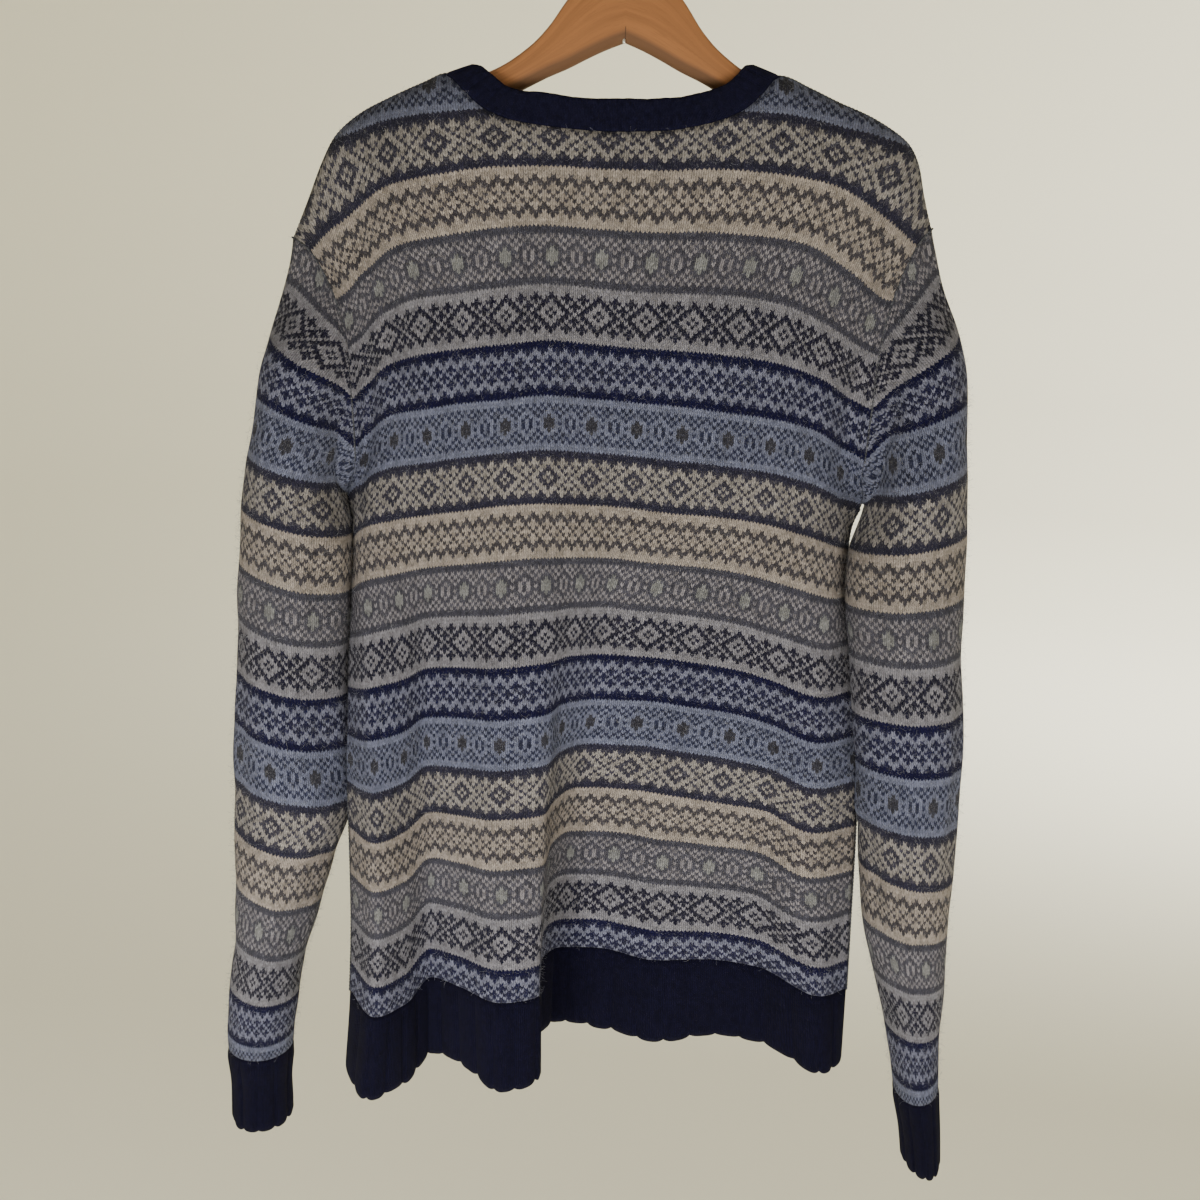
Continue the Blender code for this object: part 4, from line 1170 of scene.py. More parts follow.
def add_hem(side, seed, settings):
    """The ribbed hem of one panel."""
    count = settings.hem_ribs * HEM_POINTS + 1
    rows = np.linspace(BODY_END_ROW, HEM_END_ROW, RIB_STEPS)
    keys = np.linspace(0, LAST_KEY, count)
    grid = np.stack([column_of(side)(float(key), rows) for key in keys], axis=1)
    normals = grid_normals(grid, False, facing(side))
    ribs = np.broadcast_to(np.linspace(0, settings.hem_ribs, count), grid.shape[:2])
    part = ((rows - BODY_END_ROW) / (HEM_END_ROW - BODY_END_ROW))[:, None]
    grid = grid - UP * rib_ends(ribs, part, seed)[..., None]
    name, node = f"knit_hem_{side}", f"hem_rib_{side}"
    return add_rib_piece(name, node, grid, normals, False, ribs, rows, 6, settings.rib_rise, settings)


def add_cuff(side, table, outer_side, seed, settings):
    """The ribbed cuff of one sleeve."""
    count = settings.cuff_ribs * CUFF_POINTS
    rows = np.linspace(SLEEVE_END_ROW, CUFF_END_ROW, RIB_STEPS)
    turns = np.arange(count) * 2 * math.pi / count
    lines = [sleeve_point(table, rows, np.full(len(rows), turn), outer_side) for turn in turns]
    grid = np.stack(lines, axis=1)
    part = ((rows - SLEEVE_END_ROW) / (CUFF_END_ROW - SLEEVE_END_ROW))[:, None]
    grid = grid - UP * rib_ends(np.arange(count)[None, :] / CUFF_POINTS, part, seed)[..., None]
    normals = unit((grid - grid.mean(axis=1, keepdims=True)) * LEVEL)
    ribs = np.broadcast_to(np.arange(count + 1) / CUFF_POINTS, (len(rows), count + 1))
    name, node = f"knit_cuff_{side}", f"cuff_{side}"
    return add_rib_piece(name, node, grid, normals, True, ribs, rows, 6, settings.rib_rise, settings)


def neck_loop(per_side):
    """Points round the neckline: along the back, then back along the front."""
    first, last = NECKLINE[0][0], NECKLINE[-1][0]
    keys = first + (last - first) * (0.5 - 0.5 * np.cos(np.linspace(0, math.pi, per_side + 1)))
    back = [back_column(float(key), np.array([first_row("back", key)]))[0] for key in keys[:-1]]
    front = [front_column(float(key), np.array([first_row("front", key)]))[0] for key in keys[:0:-1]]
    loop = np.array(back + front)
    steps = np.linalg.norm(np.roll(loop, -1, axis=0) - loop, axis=1)
    run = np.concatenate([[0], np.cumsum(steps)])
    return loop, run


def add_neckband(settings):
    """The ribbed band round the neck."""
    fine, run = neck_loop(120)
    count = settings.neck_ribs * NECK_POINTS
    spots = np.arange(count) / count * run[-1]
    closed_loop = np.concatenate([fine, fine[:1]])
    loop = np.stack([np.interp(spots, run, closed_loop[:, k]) for k in range(3)], axis=1)
    middle, half = (loop[:, 0].max() + loop[:, 0].min()) / 2, np.ptp(loop[:, 0]) / 2
    sideways = (loop[:, 0] - middle) / half
    share = np.abs(sideways) ** 2.2
    inward, up = -NECK_LEAN * np.sign(sideways) * share, NECK_LEAN - NECK_DROP * share
    lean = np.stack([inward, -loop[:, 1] * 0.25, up], axis=1)
    lean *= (settings.band_height / MM / np.linalg.norm(lean, axis=1))[:, None]
    steps = np.linspace(0, 1, NECK_STEPS)
    waves = np.random.default_rng(NECK_SEED).uniform(-NECK_WAVE, NECK_WAVE, count // NECK_WAVE_POINTS + 1)
    waves = np.interp(np.arange(count) / NECK_WAVE_POINTS, np.arange(len(waves)), waves)
    grid = np.stack([loop + lean * step for step in steps])
    grid[..., 2] += steps[:, None] ** 3 * waves
    ring = grid.mean(axis=1, keepdims=True)
    normals = grid_normals(grid, True, (grid - ring) * LEVEL)
    ribs = np.broadcast_to(np.arange(count + 1) / NECK_POINTS, (len(steps), count + 1))
    rows = steps * NECK_ROWS
    return add_rib_piece(
        "knit_neckband", "neckband", grid, normals, True, ribs, rows, 4, settings.neck_rise, settings
    )


# ---------------------------------------------------------------- seams and down

HAIR_ARC = {"Resolution": 2, "Start": (0.0, 0.0, -0.1), "Middle": (0.0, 0.0, 0.8), "End": (0.75, 0.0, 1.0)}
HAIR_TURN = {"Min": (-0.9, -0.9, 0.0), "Max": (0.9, 0.9, 6.283)}
HAIR_SIZES = {2: 0.4, 3: 1.0}
STITCH_LENGTH = 0.62
STITCH_THICKNESS = 0.26
SEAM_POINTS = 60
SIDE_POINTS = 90
DOWN_SEED = 21


def growing_group(name, inputs):
    """An empty geometry group with named inputs and a geometry in and out."""
    return new_group("Geometry", name, {"Geometry": "Geometry", **inputs}, {"Geometry": "Geometry"})


def end_group(tree, given, result, points, instance, rotation, size):
    """Sets an instance on every point, makes all of them real and gives them their material."""
    inputs = {"Points": points, "Instance": instance, "Rotation": rotation, "Scale": size}
    placed = add_node(tree, "GeometryNodeInstanceOnPoints", inputs).outputs[0]
    real = add_node(tree, "GeometryNodeRealizeInstances", {0: placed}).outputs[0]
    inputs = {"Geometry": real, "Material": given["Material"]}
    feed(tree, result, {"Geometry": add_node(tree, "GeometryNodeSetMaterial", inputs).outputs[0]})
    return tree


def chain_group(name):
    """Linking stitches: short loops of yarn laid one after another along a seam."""
    inputs = {"Pitch": "Float", "Length": "Float", "Thickness": "Float", "Material": "Material"}
    tree, given, result = growing_group(name, inputs)
    inputs = {"Curve": given["Geometry"], "Length": given["Pitch"]}
    spots = add_node(tree, "GeometryNodeCurveToPoints", inputs, mode="LENGTH").outputs
    ball = add_node(tree, "GeometryNodeMeshIcoSphere", {"Subdivisions": 2, "Radius": 1.0})
    loop = add_node(tree, "GeometryNodeSetShadeSmooth", {0: ball.outputs["Mesh"]}).outputs[0]
    inputs = {0: given["Thickness"], 1: given["Thickness"], 2: given["Length"]}
    size = add_node(tree, "ShaderNodeCombineXYZ", inputs).outputs[0]
    return end_group(tree, given, result, spots["Points"], loop, spots["Rotation"], size)


def down_group(name):
    """Wool's down: short fine hairs standing on a surface, bent over at their tips."""
    inputs = {
        "Density": "Float", "Length": "Float", "Thickness": "Float", "Seed": "Int", "Material": "Material",
    }
    tree, given, result = growing_group(name, inputs)
    inputs = {"Mesh": given["Geometry"], "Density": given["Density"], "Seed": given["Seed"]}
    spots = add_node(tree, "GeometryNodeDistributePointsOnFaces", inputs).outputs
    arc = add_node(tree, "GeometryNodeCurveQuadraticBezier", HAIR_ARC).outputs[0]
    inputs = {"Resolution": 3, "Radius": given["Thickness"]}
    round_hair = add_node(tree, "GeometryNodeCurvePrimitiveCircle", inputs).outputs[0]
    inputs = {"Curve": arc, "Profile Curve": round_hair}
    hair = add_node(tree, "GeometryNodeCurveToMesh", inputs).outputs[0]
    inputs = {**HAIR_TURN, "Seed": given["Seed"]}
    turn = add_node(tree, "FunctionNodeRandomValue", inputs, data_type="FLOAT_VECTOR").outputs[0]
    inputs = {"Rotation": spots["Rotation"], "Rotate By": turn}
    spin = add_node(tree, "FunctionNodeRotateEuler", inputs, space="LOCAL").outputs[0]
    inputs = {**HAIR_SIZES, "Seed": given["Seed"]}
    size = add_node(tree, "FunctionNodeRandomValue", inputs, data_type="FLOAT").outputs[1]
    return end_group(tree, given, result, spots["Points"], hair, spin, Term(size) * given["Length"])


def grown_mesh(name, base, group, values):
    """The plain mesh that a geometry group grows on a base object, which then goes."""
    modifier = base.modifiers.new("grow", "NODES")
    modifier.node_group = group
    for item in group.interface.items_tree:
        if item.item_type == "SOCKET" and item.in_out == "INPUT" and item.name in values:
            modifier[item.identifier] = values[item.name]
    bpy.context.view_layer.update()
    grown = base.evaluated_get(bpy.context.evaluated_depsgraph_get())
    mesh = bpy.data.meshes.new_from_object(grown)
    mesh.name = name
    piece = link_object(name, mesh)
    bpy.data.objects.remove(base, do_unlink=True)
    return finish_piece(piece, "knit")


def curve_object(name, lines):
    """A curve through lines of points in millimetres."""
    data = bpy.data.curves.new(name, "CURVE")
    data.dimensions = "3D"
    for line in lines:
        spline = data.splines.new("POLY")
        spline.points.add(len(line) - 1)
        spots = np.concatenate([line * MM, np.ones((len(line), 1))], axis=1)
        spline.points.foreach_set("co", spots.astype(np.float32).ravel())
    return link_object(name, data)


def panel_edge_normals(side, key, rows):
    """Which way the cloth faces along one key line near a panel's edge."""
    column = column_of(side)
    inner = key + 0.4 if key < MIDDLE_KEY else key - 0.4
    line = np.stack([column(key, rows), column(inner, rows)], axis=1)
    return grid_normals(line, False, facing(side))[:, 0]


def seam_lines(settings):
    """Lines on the outside of the armhole, side and shoulder seams."""
    half = settings.wall / MM / 2
    lines = []
    for key, outer_side in ((0.0, -1.0), (LAST_KEY, 1.0)):
        outward = np.array([outer_side, 0.0, 0.0])
        upper = np.linspace(EDGE_TOP_ROW, ARMPIT_ROW, SEAM_POINTS)
        for side in ("back", "front"):
            points = back_column(key, upper)
            if side == "front":
                points[:, 1] = edge_depth("front", upper)
            away = panel_edge_normals(side, key, upper) + outward * 0.5
            lines.append(points + unit(away) * half)
        lower = np.linspace(ARMPIT_ROW + 4, BODY_END_ROW, SIDE_POINTS)
        lines.append(back_column(key, lower) + outward * half)
    for first, last in ((0.0, NECKLINE[0][0]), (NECKLINE[-1][0], LAST_KEY)):
        keys = np.linspace(first, last, SEAM_POINTS)
        ridge = [back_column(float(key), np.array([shoulder_at(key)[0]]))[0] for key in keys]
        lines.append(np.array(ridge) + UP * half)
    return lines


def add_seam_stitches(settings):
    """The linking stitches that close the seams, as one mesh."""
    yarn = ready(bpy.data.materials, "seam_yarn", plain_yarn_material, settings.seam_color)
    pitch = settings.seam_pitch
    values = {
        "Pitch": pitch, "Length": pitch * STITCH_LENGTH, "Thickness": pitch * STITCH_THICKNESS,
        "Material": yarn,
    }
    group = ready(bpy.data.node_groups, "Linking stitches", chain_group)
    return grown_mesh("seam_stitches", curve_object("seam_lines", seam_lines(settings)), group, values)


def outer_copy(piece):
    """A bare copy of a piece's outer faces, and their area."""
    mesh = piece.data
    corners_of = np.zeros(len(mesh.loops), dtype=np.int32)
    mesh.loops.foreach_get("vertex_index", corners_of)
    slots = np.zeros(len(mesh.polygons), dtype=np.int32)
    mesh.polygons.foreach_get("material_index", slots)
    spots = np.zeros(len(mesh.vertices) * 3)
    mesh.vertices.foreach_get("co", spots)
    faces = corners_of.reshape(-1, 4)[: len(slots)]
    outer_count = len(mesh.vertices) // 2
    outer = faces[(slots == 0) & (faces.max(axis=1) < outer_count)]
    copy = bpy.data.meshes.new(piece.name + "_outer")
    copy.from_pydata(spots.reshape(-1, 3)[:outer_count].tolist(), [], outer.tolist())
    copy.update()
    return link_object(piece.name + "_outer", copy), sum(face.area for face in copy.polygons)


def add_down(piece, hairs, seed, settings):
    """Loose hairs over one knitted piece."""
    base, area = outer_copy(piece)
    values = {
        "Density": hairs / area, "Length": settings.down_length,
        "Thickness": settings.hair_radius / settings.down_length, "Seed": seed,
        "Material": ready(bpy.data.materials, "loose_wool", plain_yarn_material, settings.down_color),
    }
    group = ready(bpy.data.node_groups, "Wool down", down_group)
    return grown_mesh(piece.name.replace("knit", "down"), base, group, values)


# ---------------------------------------------------------------- the hanger

BAR_POINTS = 40
BAR_STEPS = 60
BAR_TIPS = ((193.0, 0.96), (195.2, 0.86), (196.5, 0.68), (197.0, 0.35))
WIRE_STEPS = 120
WIRE_TIPS = ((1.2, 0.93), (0.6, 0.75), (0.2, 0.45), (0.0, 0.15))
# Height and radius along the collar and along the wire's end below the bar
COLLAR = ((-59.6, 3.6), (-59.5, 4.4), (-58.6, 4.6), (-57.6, 4.3), (-57.3, 3.4), (-57.2, 1.9))
WIRE_END = ((-107.0, 1.2), (-109.0, 1.2), (-110.4, 1.2), (-110.9, 0.9), (-111.1, 0.4))


def bar_section(x, top, bottom, depth, corner, belly):
    """Points round the hanger's bar at one place along it, rounder below than above."""
    turn = (np.arange(BAR_POINTS) + HALF) * 2 * math.pi / BAR_POINTS
    half_y, half_z = depth / 2, (top - bottom) / 2
    above = np.sin(turn) > 0
    wide = np.where(above, min(corner, half_y * 0.9), half_y * 0.85)
    tall = np.where(above, min(corner, half_z * 0.9), min(belly, half_z * 0.9))
    y = np.sign(np.cos(turn)) * (half_y - wide) + wide * np.cos(turn)
    z = np.sign(np.sin(turn)) * (half_z - tall) + tall * np.sin(turn)
    return np.stack([np.full(BAR_POINTS, x), y, z + (top + bottom) / 2], axis=1)


def end_caps(rows, columns, turned):
    """Faces that close both ends of a tube."""
    caps = []
    for row in (0, rows - 1):
        for k in range(1, columns // 2):
            face = [row * columns + place % columns for place in (k - 1, k, columns - 1 - k, columns - k)]
            caps.append(face[::-1] if (row > 0) != turned else face)
    return np.array(caps)


def add_bar(settings):
    """The wooden bar, with its hub and both arms."""
    tips = np.array(BAR_TIPS)
    reach = np.concatenate([np.linspace(0, 190, BAR_STEPS), tips[:, 0]])
    shrink = np.concatenate([np.ones(BAR_STEPS), tips[:, 1]])
    corner, belly_height = settings.bar_corner / MM, settings.bar_belly / MM
    right = []
    for x, (top, bottom, depth), keep in zip(reach, table_curve(HANGER_BAR, reach), shrink):
        middle, half = (top + bottom) / 2, (top - bottom) / 2 * keep
        section = bar_section(x, middle + half, middle - half, depth * keep, corner, belly_height)
        right.append(section)
    left = [section * np.array([-1.0, 1.0, 1.0]) for section in right[:0:-1]]
    grid = np.array(left + right)
    rows, columns = grid.shape[:2]
    along = np.concatenate([-reach[:0:-1], reach]) * MM
    row_of, column_of_quad = corners(rows, columns, True)
    sides = row_of * columns + column_of_quad % columns
    steps = np.linalg.norm(np.diff(grid[rows // 2], axis=0), axis=1)
    round_run = np.concatenate([[0], np.cumsum(steps), [np.sum(steps) + 1.0]]) * MM
    caps = end_caps(rows, columns, False)
    cap_uvs = np.zeros(caps.shape + (2,))
    cap_uvs[..., 0] = along[caps // columns]
    uvs = np.concatenate([np.stack([along[row_of], round_run[column_of_quad]], axis=-1), cap_uvs])
    belly = (float(round_run[columns // 2]), float(round_run[-2]))
    wood = ready(bpy.data.materials, "varnished_wood", wood_material, settings, belly)
    quads = np.concatenate([sides, caps])
    piece = add_mesh("hanger_bar", grid.reshape(-1, 3), quads, uvs, np.zeros(len(quads)), [wood])
    return finish_piece(piece, "hanger_wood", "hanger")


def add_tube(name, line, radii, around, *nodes):
    """A round steel wire along a line in millimetres, closed at both ends."""
    line, radii = np.asarray(line, float), np.asarray(radii, float)
    ahead = unit(np.gradient(line, axis=0))
    aside = unit(np.cross(ahead, np.array([0.0, 1.0, 0.0])))
    turns = np.arange(around) * 2 * math.pi / around
    up = np.cross(aside, ahead)
    ring = np.cos(turns)[None, :, None] * aside[:, None] + np.sin(turns)[None, :, None] * up[:, None]
    grid = line[:, None] + ring * radii[:, None, None]
    row_of, column_of_quad = corners(len(line), around, True)
    quads = np.concatenate([row_of * around + column_of_quad % around, end_caps(len(line), around, True)])
    steel = ready(bpy.data.materials, "steel_wire", wire_material)
    uvs = np.zeros(quads.shape + (2,))
    piece = add_mesh(name, grid.reshape(-1, 3), quads, uvs, np.zeros(len(quads)), [steel])
    return finish_piece(piece, "hook_wire", *nodes)


def add_hook(settings):
    """The wire hook, the collar that it stands on and its end below the bar."""
    table = np.array([(x, 0.0, z) for x, z in HOOK_LINE])
    run = np.concatenate([[0], np.cumsum(np.linalg.norm(np.diff(table, axis=0), axis=1))])
    tips = np.array(WIRE_TIPS)
    spots = np.concatenate([np.linspace(0, run[-1] - 1.8, WIRE_STEPS), run[-1] - tips[:, 0]])
    radii = np.concatenate([np.ones(WIRE_STEPS), tips[:, 1]]) * (settings.wire_radius / MM)
    add_tube("hook_wire", curve(run, table, spots), radii, 20, "hook")
    add_tube("hook_collar", [(0.0, 0.0, z) for z, _ in COLLAR], [radius for _, radius in COLLAR], 24)
    add_tube("hook_end", [(-0.9, -3.4, z) for z, _ in WIRE_END], [radius for _, radius in WIRE_END], 16)


# ---------------------------------------------------------------- settings


def color_setting(label, value):
    """A colour that a user can change."""
    return bpy.props.FloatVectorProperty(
        name=label, description=f"Colour of the {label.lower()}", subtype="COLOR", size=3,
        min=0.0, max=1.0, default=value,
    )


def length_setting(label, note, value):
    """A length that a user can change."""
    return bpy.props.FloatProperty(name=label, description=note, unit="LENGTH", default=value, min=0.0)


def share_setting(label, note, value):
    """A share from 0 to 1 that a user can change."""
    return bpy.props.FloatProperty(
        name=label, description=note, default=value, min=0.0, max=1.0, subtype="FACTOR"
    )


def count_setting(label, note, value, least):
    """A count that a user can change."""
    return bpy.props.IntProperty(name=label, description=note, default=value, min=least)


def power_setting(label, note, value):
    """A light's power that a user can change."""
    return bpy.props.FloatProperty(name=label, description=note, default=value, min=0.0, unit="POWER")


class JumperSettings(bpy.types.PropertyGroup):
    """Sizes and yarns of the jumper."""

    wall: length_setting("Wall", "Thickness of the stranded knitting", 0.0026)
    rib_wall: length_setting("Rib wall", "Thickness of a rib's furrow", 0.0018)
    rib_rise: length_setting("Rib rise", "Height of the hem's and cuffs' ribs", 0.0018)
    neck_rise: length_setting("Neck rib rise", "Height of the neckband's ribs", 0.0007)
    band_height: length_setting("Neckband", "Height of the neckband", 0.023)
    unevenness: length_setting("Unevenness", "Height of the knitting's gentle waves", 0.0009)
    down_length: length_setting("Down", "Length of the wool's loose hairs", 0.0045)
    hair_radius: length_setting("Hair radius", "Radius of one loose hair", 0.00006)
    seam_pitch: length_setting("Seam pitch", "Length of one linking stitch", 0.0030)
    panel_columns: count_setting("Panel columns", "Columns of points across a panel", 175, 20)
    panel_rows: count_setting("Panel rows", "Rows of points down a panel", 127, 20)
    sleeve_rows: count_setting("Sleeve rows", "Rows of points down a sleeve", 115, 20)
    hem_ribs: count_setting("Hem ribs", "Ribs across one side of the hem", 29, 4)
    cuff_ribs: count_setting("Cuff ribs", "Ribs round a cuff", 11, 4)
    neck_ribs: count_setting("Neck ribs", "Ribs round the neckband", 66, 8)
    heather: share_setting("Heather", "How uneven the yarn's colour is", 0.42)
    hollow_shade: share_setting("Hollow shade", "How dark the hollows between stitches are", 0.58)
    sheen: share_setting("Sheen", "Soft light caught by the wool's down", 0.03)
    ground_a: color_setting("First band's ground", (0.0172, 0.0161, 0.0299))
    motif_a: color_setting("First band's motif", (0.2131, 0.1946, 0.1807))
    ground_b: color_setting("Second band's ground", (0.2429, 0.2085, 0.1817))
    motif_b: color_setting("Second band's motif", (0.0293, 0.0265, 0.0330))
    ground_c: color_setting("Third band's ground", (0.0393, 0.0383, 0.0510))
    motif_c: color_setting("Third band's motif", (0.1695, 0.1565, 0.1689))
    ground_d: color_setting("Fourth band's ground", (0.1553, 0.1489, 0.1663))
    motif_d: color_setting("Fourth band's motif", (0.0020, 0.0016, 0.0120))
    ground_e: color_setting("Fifth band's ground", (0.0034, 0.0032, 0.0229))
    motif_e: color_setting("Fifth band's motif", (0.1306, 0.1350, 0.1855))
    ground_f: color_setting("Sixth band's ground", (0.1085, 0.1166, 0.1686))
    motif_f: color_setting("Sixth band's motif", (0.0117, 0.0136, 0.0333))
    spot_c: color_setting("Third band's spots", (0.160, 0.160, 0.158))
    spot_f: color_setting("Sixth band's spots", (0.020, 0.019, 0.024))
    seam_color: color_setting("Seams", (0.045, 0.046, 0.052))
    down_color: color_setting("Loose hairs", (0.20, 0.20, 0.22))
    rib_color: color_setting("Ribs", (0.0028, 0.0025, 0.0100))
    # Painted light: the ribs' navy yarn, made lighter for the neckband
    neck_painted_light_color: color_setting("Neckband", (0.0058, 0.0056, 0.0185))


class HangerSettings(bpy.types.PropertyGroup):
    """Sizes and finish of the hanger."""

    bar_corner: length_setting("Upper rounding", "Radius of the bar's upper edges", 0.0030)
    bar_belly: length_setting("Lower rounding", "Height of the bar's rounded underside", 0.0095)
    wire_radius: length_setting("Wire radius", "Radius of the hook's wire", 0.0018)
    wood_color: color_setting("Wood", (0.280, 0.116, 0.041))


class StageSettings(bpy.types.PropertyGroup):
    """Room, light and camera."""

    floor_color: color_setting("Floor", (0.885, 0.845, 0.665))
    key_power: power_setting("Main light", "Power of the main light", 23.5)
    fill_power: power_setting("Fill light", "Power of the fill light", 21.0)
    wall_power: power_setting("Wall light", "Power of the light on the far wall", 190.0)
    sky_strength: bpy.props.FloatProperty(
        name="Room light", description="Strength of the light from all round", default=0.62, min=0.0
    )


# ---------------------------------------------------------------- the stage

FLOOR_DEPTH = -1.25
FLOOR_POINTS = 96
# The floor's distance from its middle and its height above its lowest place
FLOOR_PROFILE = (
    (1.5, 0.0), (3.0, 0.0), (4.2, 0.12), (5.0, 0.45), (5.5, 1.0), (5.8, 1.8), (5.9, 3.0), (5.9, 4.2),
)
JUMPER_MIDDLE = (0.0, 0.0, -0.8)
ROOM_COLOR = (1.0, 0.97, 0.90, 1.0)
CAMERA_PLACE = (-0.006, -0.915, -0.270)
CAMERA_TILT = 75.0
CAMERA_ROLL = 1.7
CAMERA_LENS = 36.0


def add_floor(settings):
    """A pale floor that rises softly into a far wall all round."""
    turns = np.arange(FLOOR_POINTS) * 2 * math.pi / FLOOR_POINTS
    points = [
        (reach * math.cos(turn), reach * math.sin(turn), height + FLOOR_DEPTH)
        for reach, height in FLOOR_PROFILE for turn in turns
    ]
    row_of, column_of_face = corners(len(FLOOR_PROFILE), FLOOR_POINTS, True)
    faces = (row_of * FLOOR_POINTS + column_of_face % FLOOR_POINTS)[:, [3, 2, 1, 0]].tolist()
    faces += [(k, (k + 1) % FLOOR_POINTS, len(points)) for k in range(FLOOR_POINTS)]
    mesh = bpy.data.meshes.new("floor")
    mesh.from_pydata(points + [(0.0, 0.0, FLOOR_DEPTH)], [], faces)
    mesh.update()
    mesh.shade_smooth()
    material, tree, shader = new_material("pale_floor")
    feed(tree, shader, {"Base Color": opaque(settings.floor_color), "Roughness": 0.9})
    mesh.materials.append(material)
    link_object("floor", mesh)


def add_lights(settings):
    """Soft studio light: a wide main light, a fill, the far wall's light and the room's own."""
    for name, power, place, size, target in (
        ("main_light", settings.key_power, (-0.45, -1.12, -1.02), 0.7, JUMPER_MIDDLE),
        ("fill_light", settings.fill_power, (1.0, -1.3, -1.05), 0.9, JUMPER_MIDDLE),
        ("rear_light", settings.fill_power * 0.3, (0.6, 2.2, 0.4), 1.6, JUMPER_MIDDLE),
        ("wall_light", settings.wall_power, (2.2, 1.6, 0.9), 3.0, (2.6, 4.6, -1.1)),
    ):
        lamp = bpy.data.lights.new(name, "AREA")
        lamp.energy = power
        lamp.size = size
        light = link_object(name, lamp, place)
        light.rotation_euler = (Vector(target) - light.location).to_track_quat("-Z", "Y").to_euler()
    world = bpy.data.worlds.new("room")
    world.use_nodes = True
    feed(world.node_tree, world.node_tree.nodes["Background"], {0: ROOM_COLOR, 1: settings.sky_strength})
    bpy.context.scene.world = world


def add_camera():
    """The camera in front of the jumper's back, looking a little down."""
    data = bpy.data.cameras.new("camera")
    data.sensor_width = 36.0
    data.lens = CAMERA_LENS
    camera = link_object("camera", data)
    tilt = Matrix.Rotation(math.radians(CAMERA_TILT), 4, "X")
    roll = Matrix.Rotation(math.radians(CAMERA_ROLL), 4, "Z")
    camera.matrix_world = Matrix.Translation(CAMERA_PLACE) @ tilt @ roll
    bpy.context.scene.camera = camera


# ---------------------------------------------------------------- operators

# Flat width and length of each cloth piece's cut, in metres
PANEL_CUT = (0.52, 0.66)
SLEEVE_CUT = (0.30, 0.62)
HEM_CUT = (0.50, 0.08)
CUFF_CUT = (0.17, 0.07)
NECK_CUT = (0.56, 0.022)


def declare_cloth(built, flat):
    """Takes a cloth piece's area, the built surface's own within the flat size, and does nothing more with
    it.
    """
    piece, area = built
    area = min(area, flat[0] * flat[1])


class JUMPER_OT_hanger(bpy.types.Operator):
    """Builds the wooden bar and its wire hook"""

    bl_idname = "jumper.hanger"
    bl_label = "Hanger"

    def execute(self, context):
        add_bar(context.scene.hanger_settings)
        add_hook(context.scene.hanger_settings)
        return {"FINISHED"}


class JUMPER_OT_panels(bpy.types.Operator):
    """Builds the back and the front"""

    bl_idname = "jumper.panels"
    bl_label = "Back and front"

    def execute(self, context):
        for side, creases, seed in (("back", BACK_CREASES, 11), ("front", FRONT_CREASES, 12)):
            declare_cloth(add_panel(side, creases, seed, context.scene.jumper_settings), PANEL_CUT)
        return {"FINISHED"}


class JUMPER_OT_sleeves(bpy.types.Operator):
    """Builds both sleeves"""

    bl_idname = "jumper.sleeves"
    bl_label = "Sleeves"

    def execute(self, context):
        for sleeve in (("left", LEFT_SLEEVE, -1, 2.5, 13), ("right", RIGHT_SLEEVE, 1, 9.0, 14)):
            declare_cloth(add_sleeve(*sleeve, context.scene.jumper_settings), SLEEVE_CUT)
        return {"FINISHED"}


class JUMPER_OT_ribs(bpy.types.Operator):
    """Builds the neckband, the hem and the cuffs"""

    bl_idname = "jumper.ribs"
    bl_label = "Ribs"

    def execute(self, context):
        settings = context.scene.jumper_settings
        for side, seed in (("back", 21), ("front", 22)):
            declare_cloth(add_hem(side, seed, settings), HEM_CUT)
        for cuff in (("left", LEFT_SLEEVE, -1, 23), ("right", RIGHT_SLEEVE, 1, 24)):
            declare_cloth(add_cuff(*cuff, settings), CUFF_CUT)
        declare_cloth(add_neckband(settings), NECK_CUT)
        return {"FINISHED"}


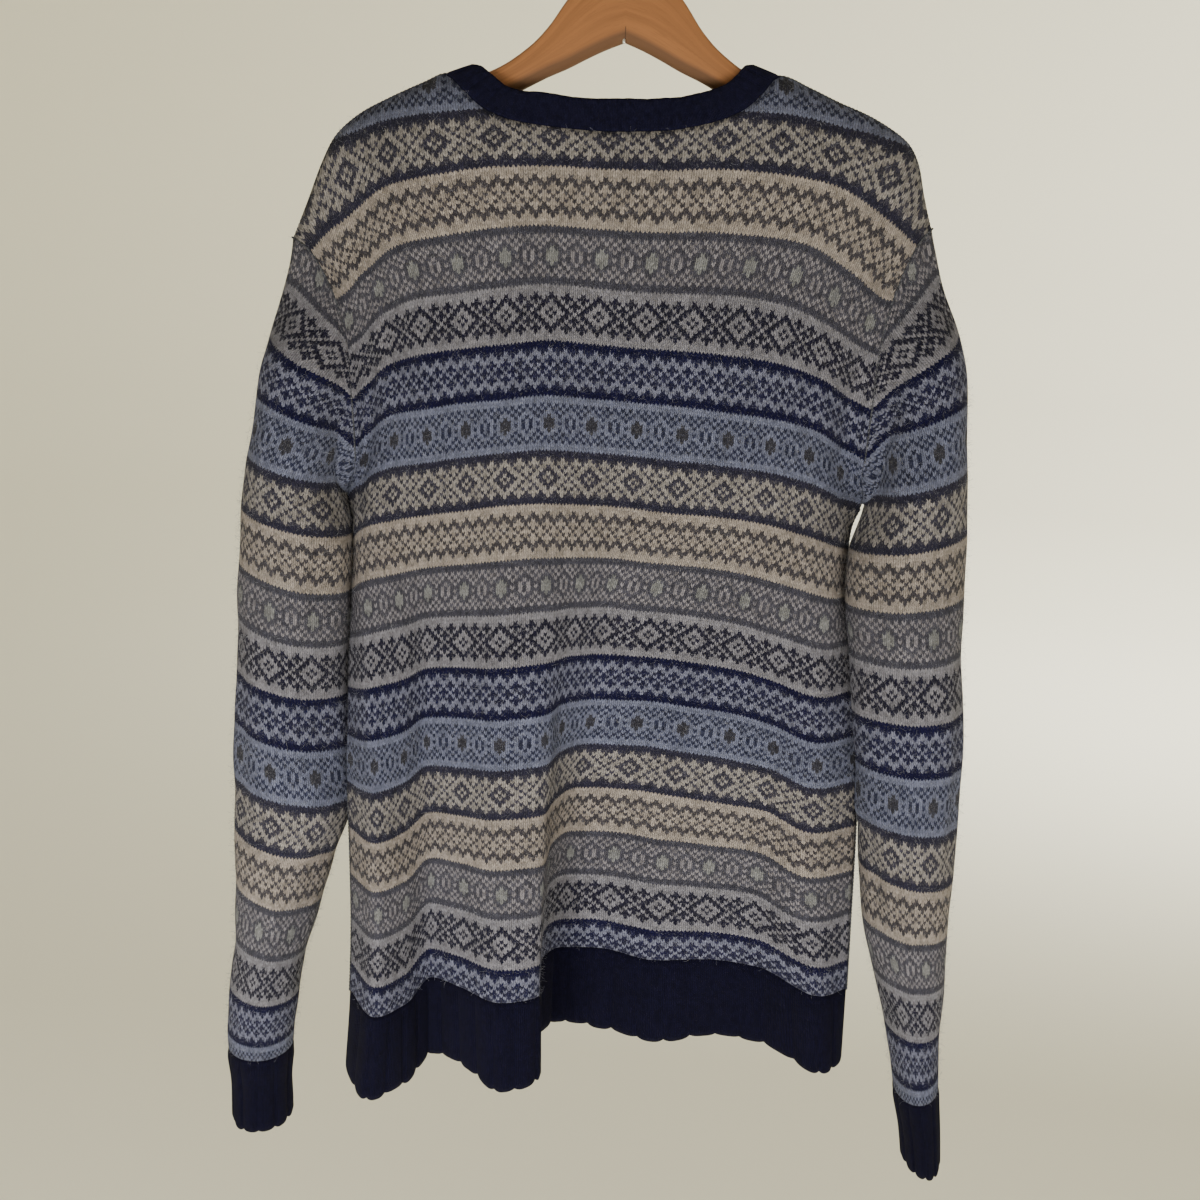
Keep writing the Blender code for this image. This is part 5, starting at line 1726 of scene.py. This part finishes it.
class JUMPER_OT_seams(bpy.types.Operator):
    """Builds the linking stitches along the seams"""

    bl_idname = "jumper.seams"
    bl_label = "Seams"

    def execute(self, context):
        add_seam_stitches(context.scene.jumper_settings)
        return {"FINISHED"}


class JUMPER_OT_down(bpy.types.Operator):
    """Builds the wool's loose hairs over the knitted pieces"""

    bl_idname = "jumper.down"
    bl_label = "Loose hairs"

    def execute(self, context):
        share = 1.0
        for number, (name, hairs) in enumerate(DOWN_HAIRS):
            piece = bpy.data.objects[name]
            add_down(piece, hairs * share, DOWN_SEED + number, context.scene.jumper_settings)
        return {"FINISHED"}


class JUMPER_OT_stage(bpy.types.Operator):
    """Builds the floor, the lights and the camera"""

    bl_idname = "jumper.stage"
    bl_label = "Stage"

    def execute(self, context):
        add_floor(context.scene.stage_settings)
        add_lights(context.scene.stage_settings)
        add_camera()
        return {"FINISHED"}


STEPS = (
    JUMPER_OT_hanger, JUMPER_OT_panels, JUMPER_OT_sleeves, JUMPER_OT_ribs, JUMPER_OT_seams,
    JUMPER_OT_down, JUMPER_OT_stage,
)


class JUMPER_PT_panel(bpy.types.Panel):
    """Lists the steps that build the jumper"""

    bl_idname = "JUMPER_PT_panel"
    bl_label = "Fair isle jumper"
    bl_space_type = "VIEW_3D"
    bl_region_type = "UI"
    bl_category = "Jumper"

    def draw(self, context):
        for step in STEPS:
            self.layout.operator(step.bl_idname)


SETTINGS = {
    "jumper_settings": JumperSettings, "hanger_settings": HangerSettings, "stage_settings": StageSettings,
}
CLASSES = (*SETTINGS.values(), *STEPS, JUMPER_PT_panel)


def register():
    for item in CLASSES:
        bpy.utils.register_class(item)
    for name, group in SETTINGS.items():
        setattr(bpy.types.Scene, name, bpy.props.PointerProperty(type=group))


def unregister():
    for name in SETTINGS:
        delattr(bpy.types.Scene, name)
    for item in reversed(CLASSES):
        bpy.utils.unregister_class(item)


def main():
    """Builds every piece in order."""
    register()
    bpy.ops.jumper.hanger()
    bpy.ops.jumper.panels()
    bpy.ops.jumper.sleeves()
    bpy.ops.jumper.ribs()
    bpy.ops.jumper.seams()
    bpy.ops.jumper.down()
    bpy.ops.jumper.stage()


if __name__ == "__main__":
    main()
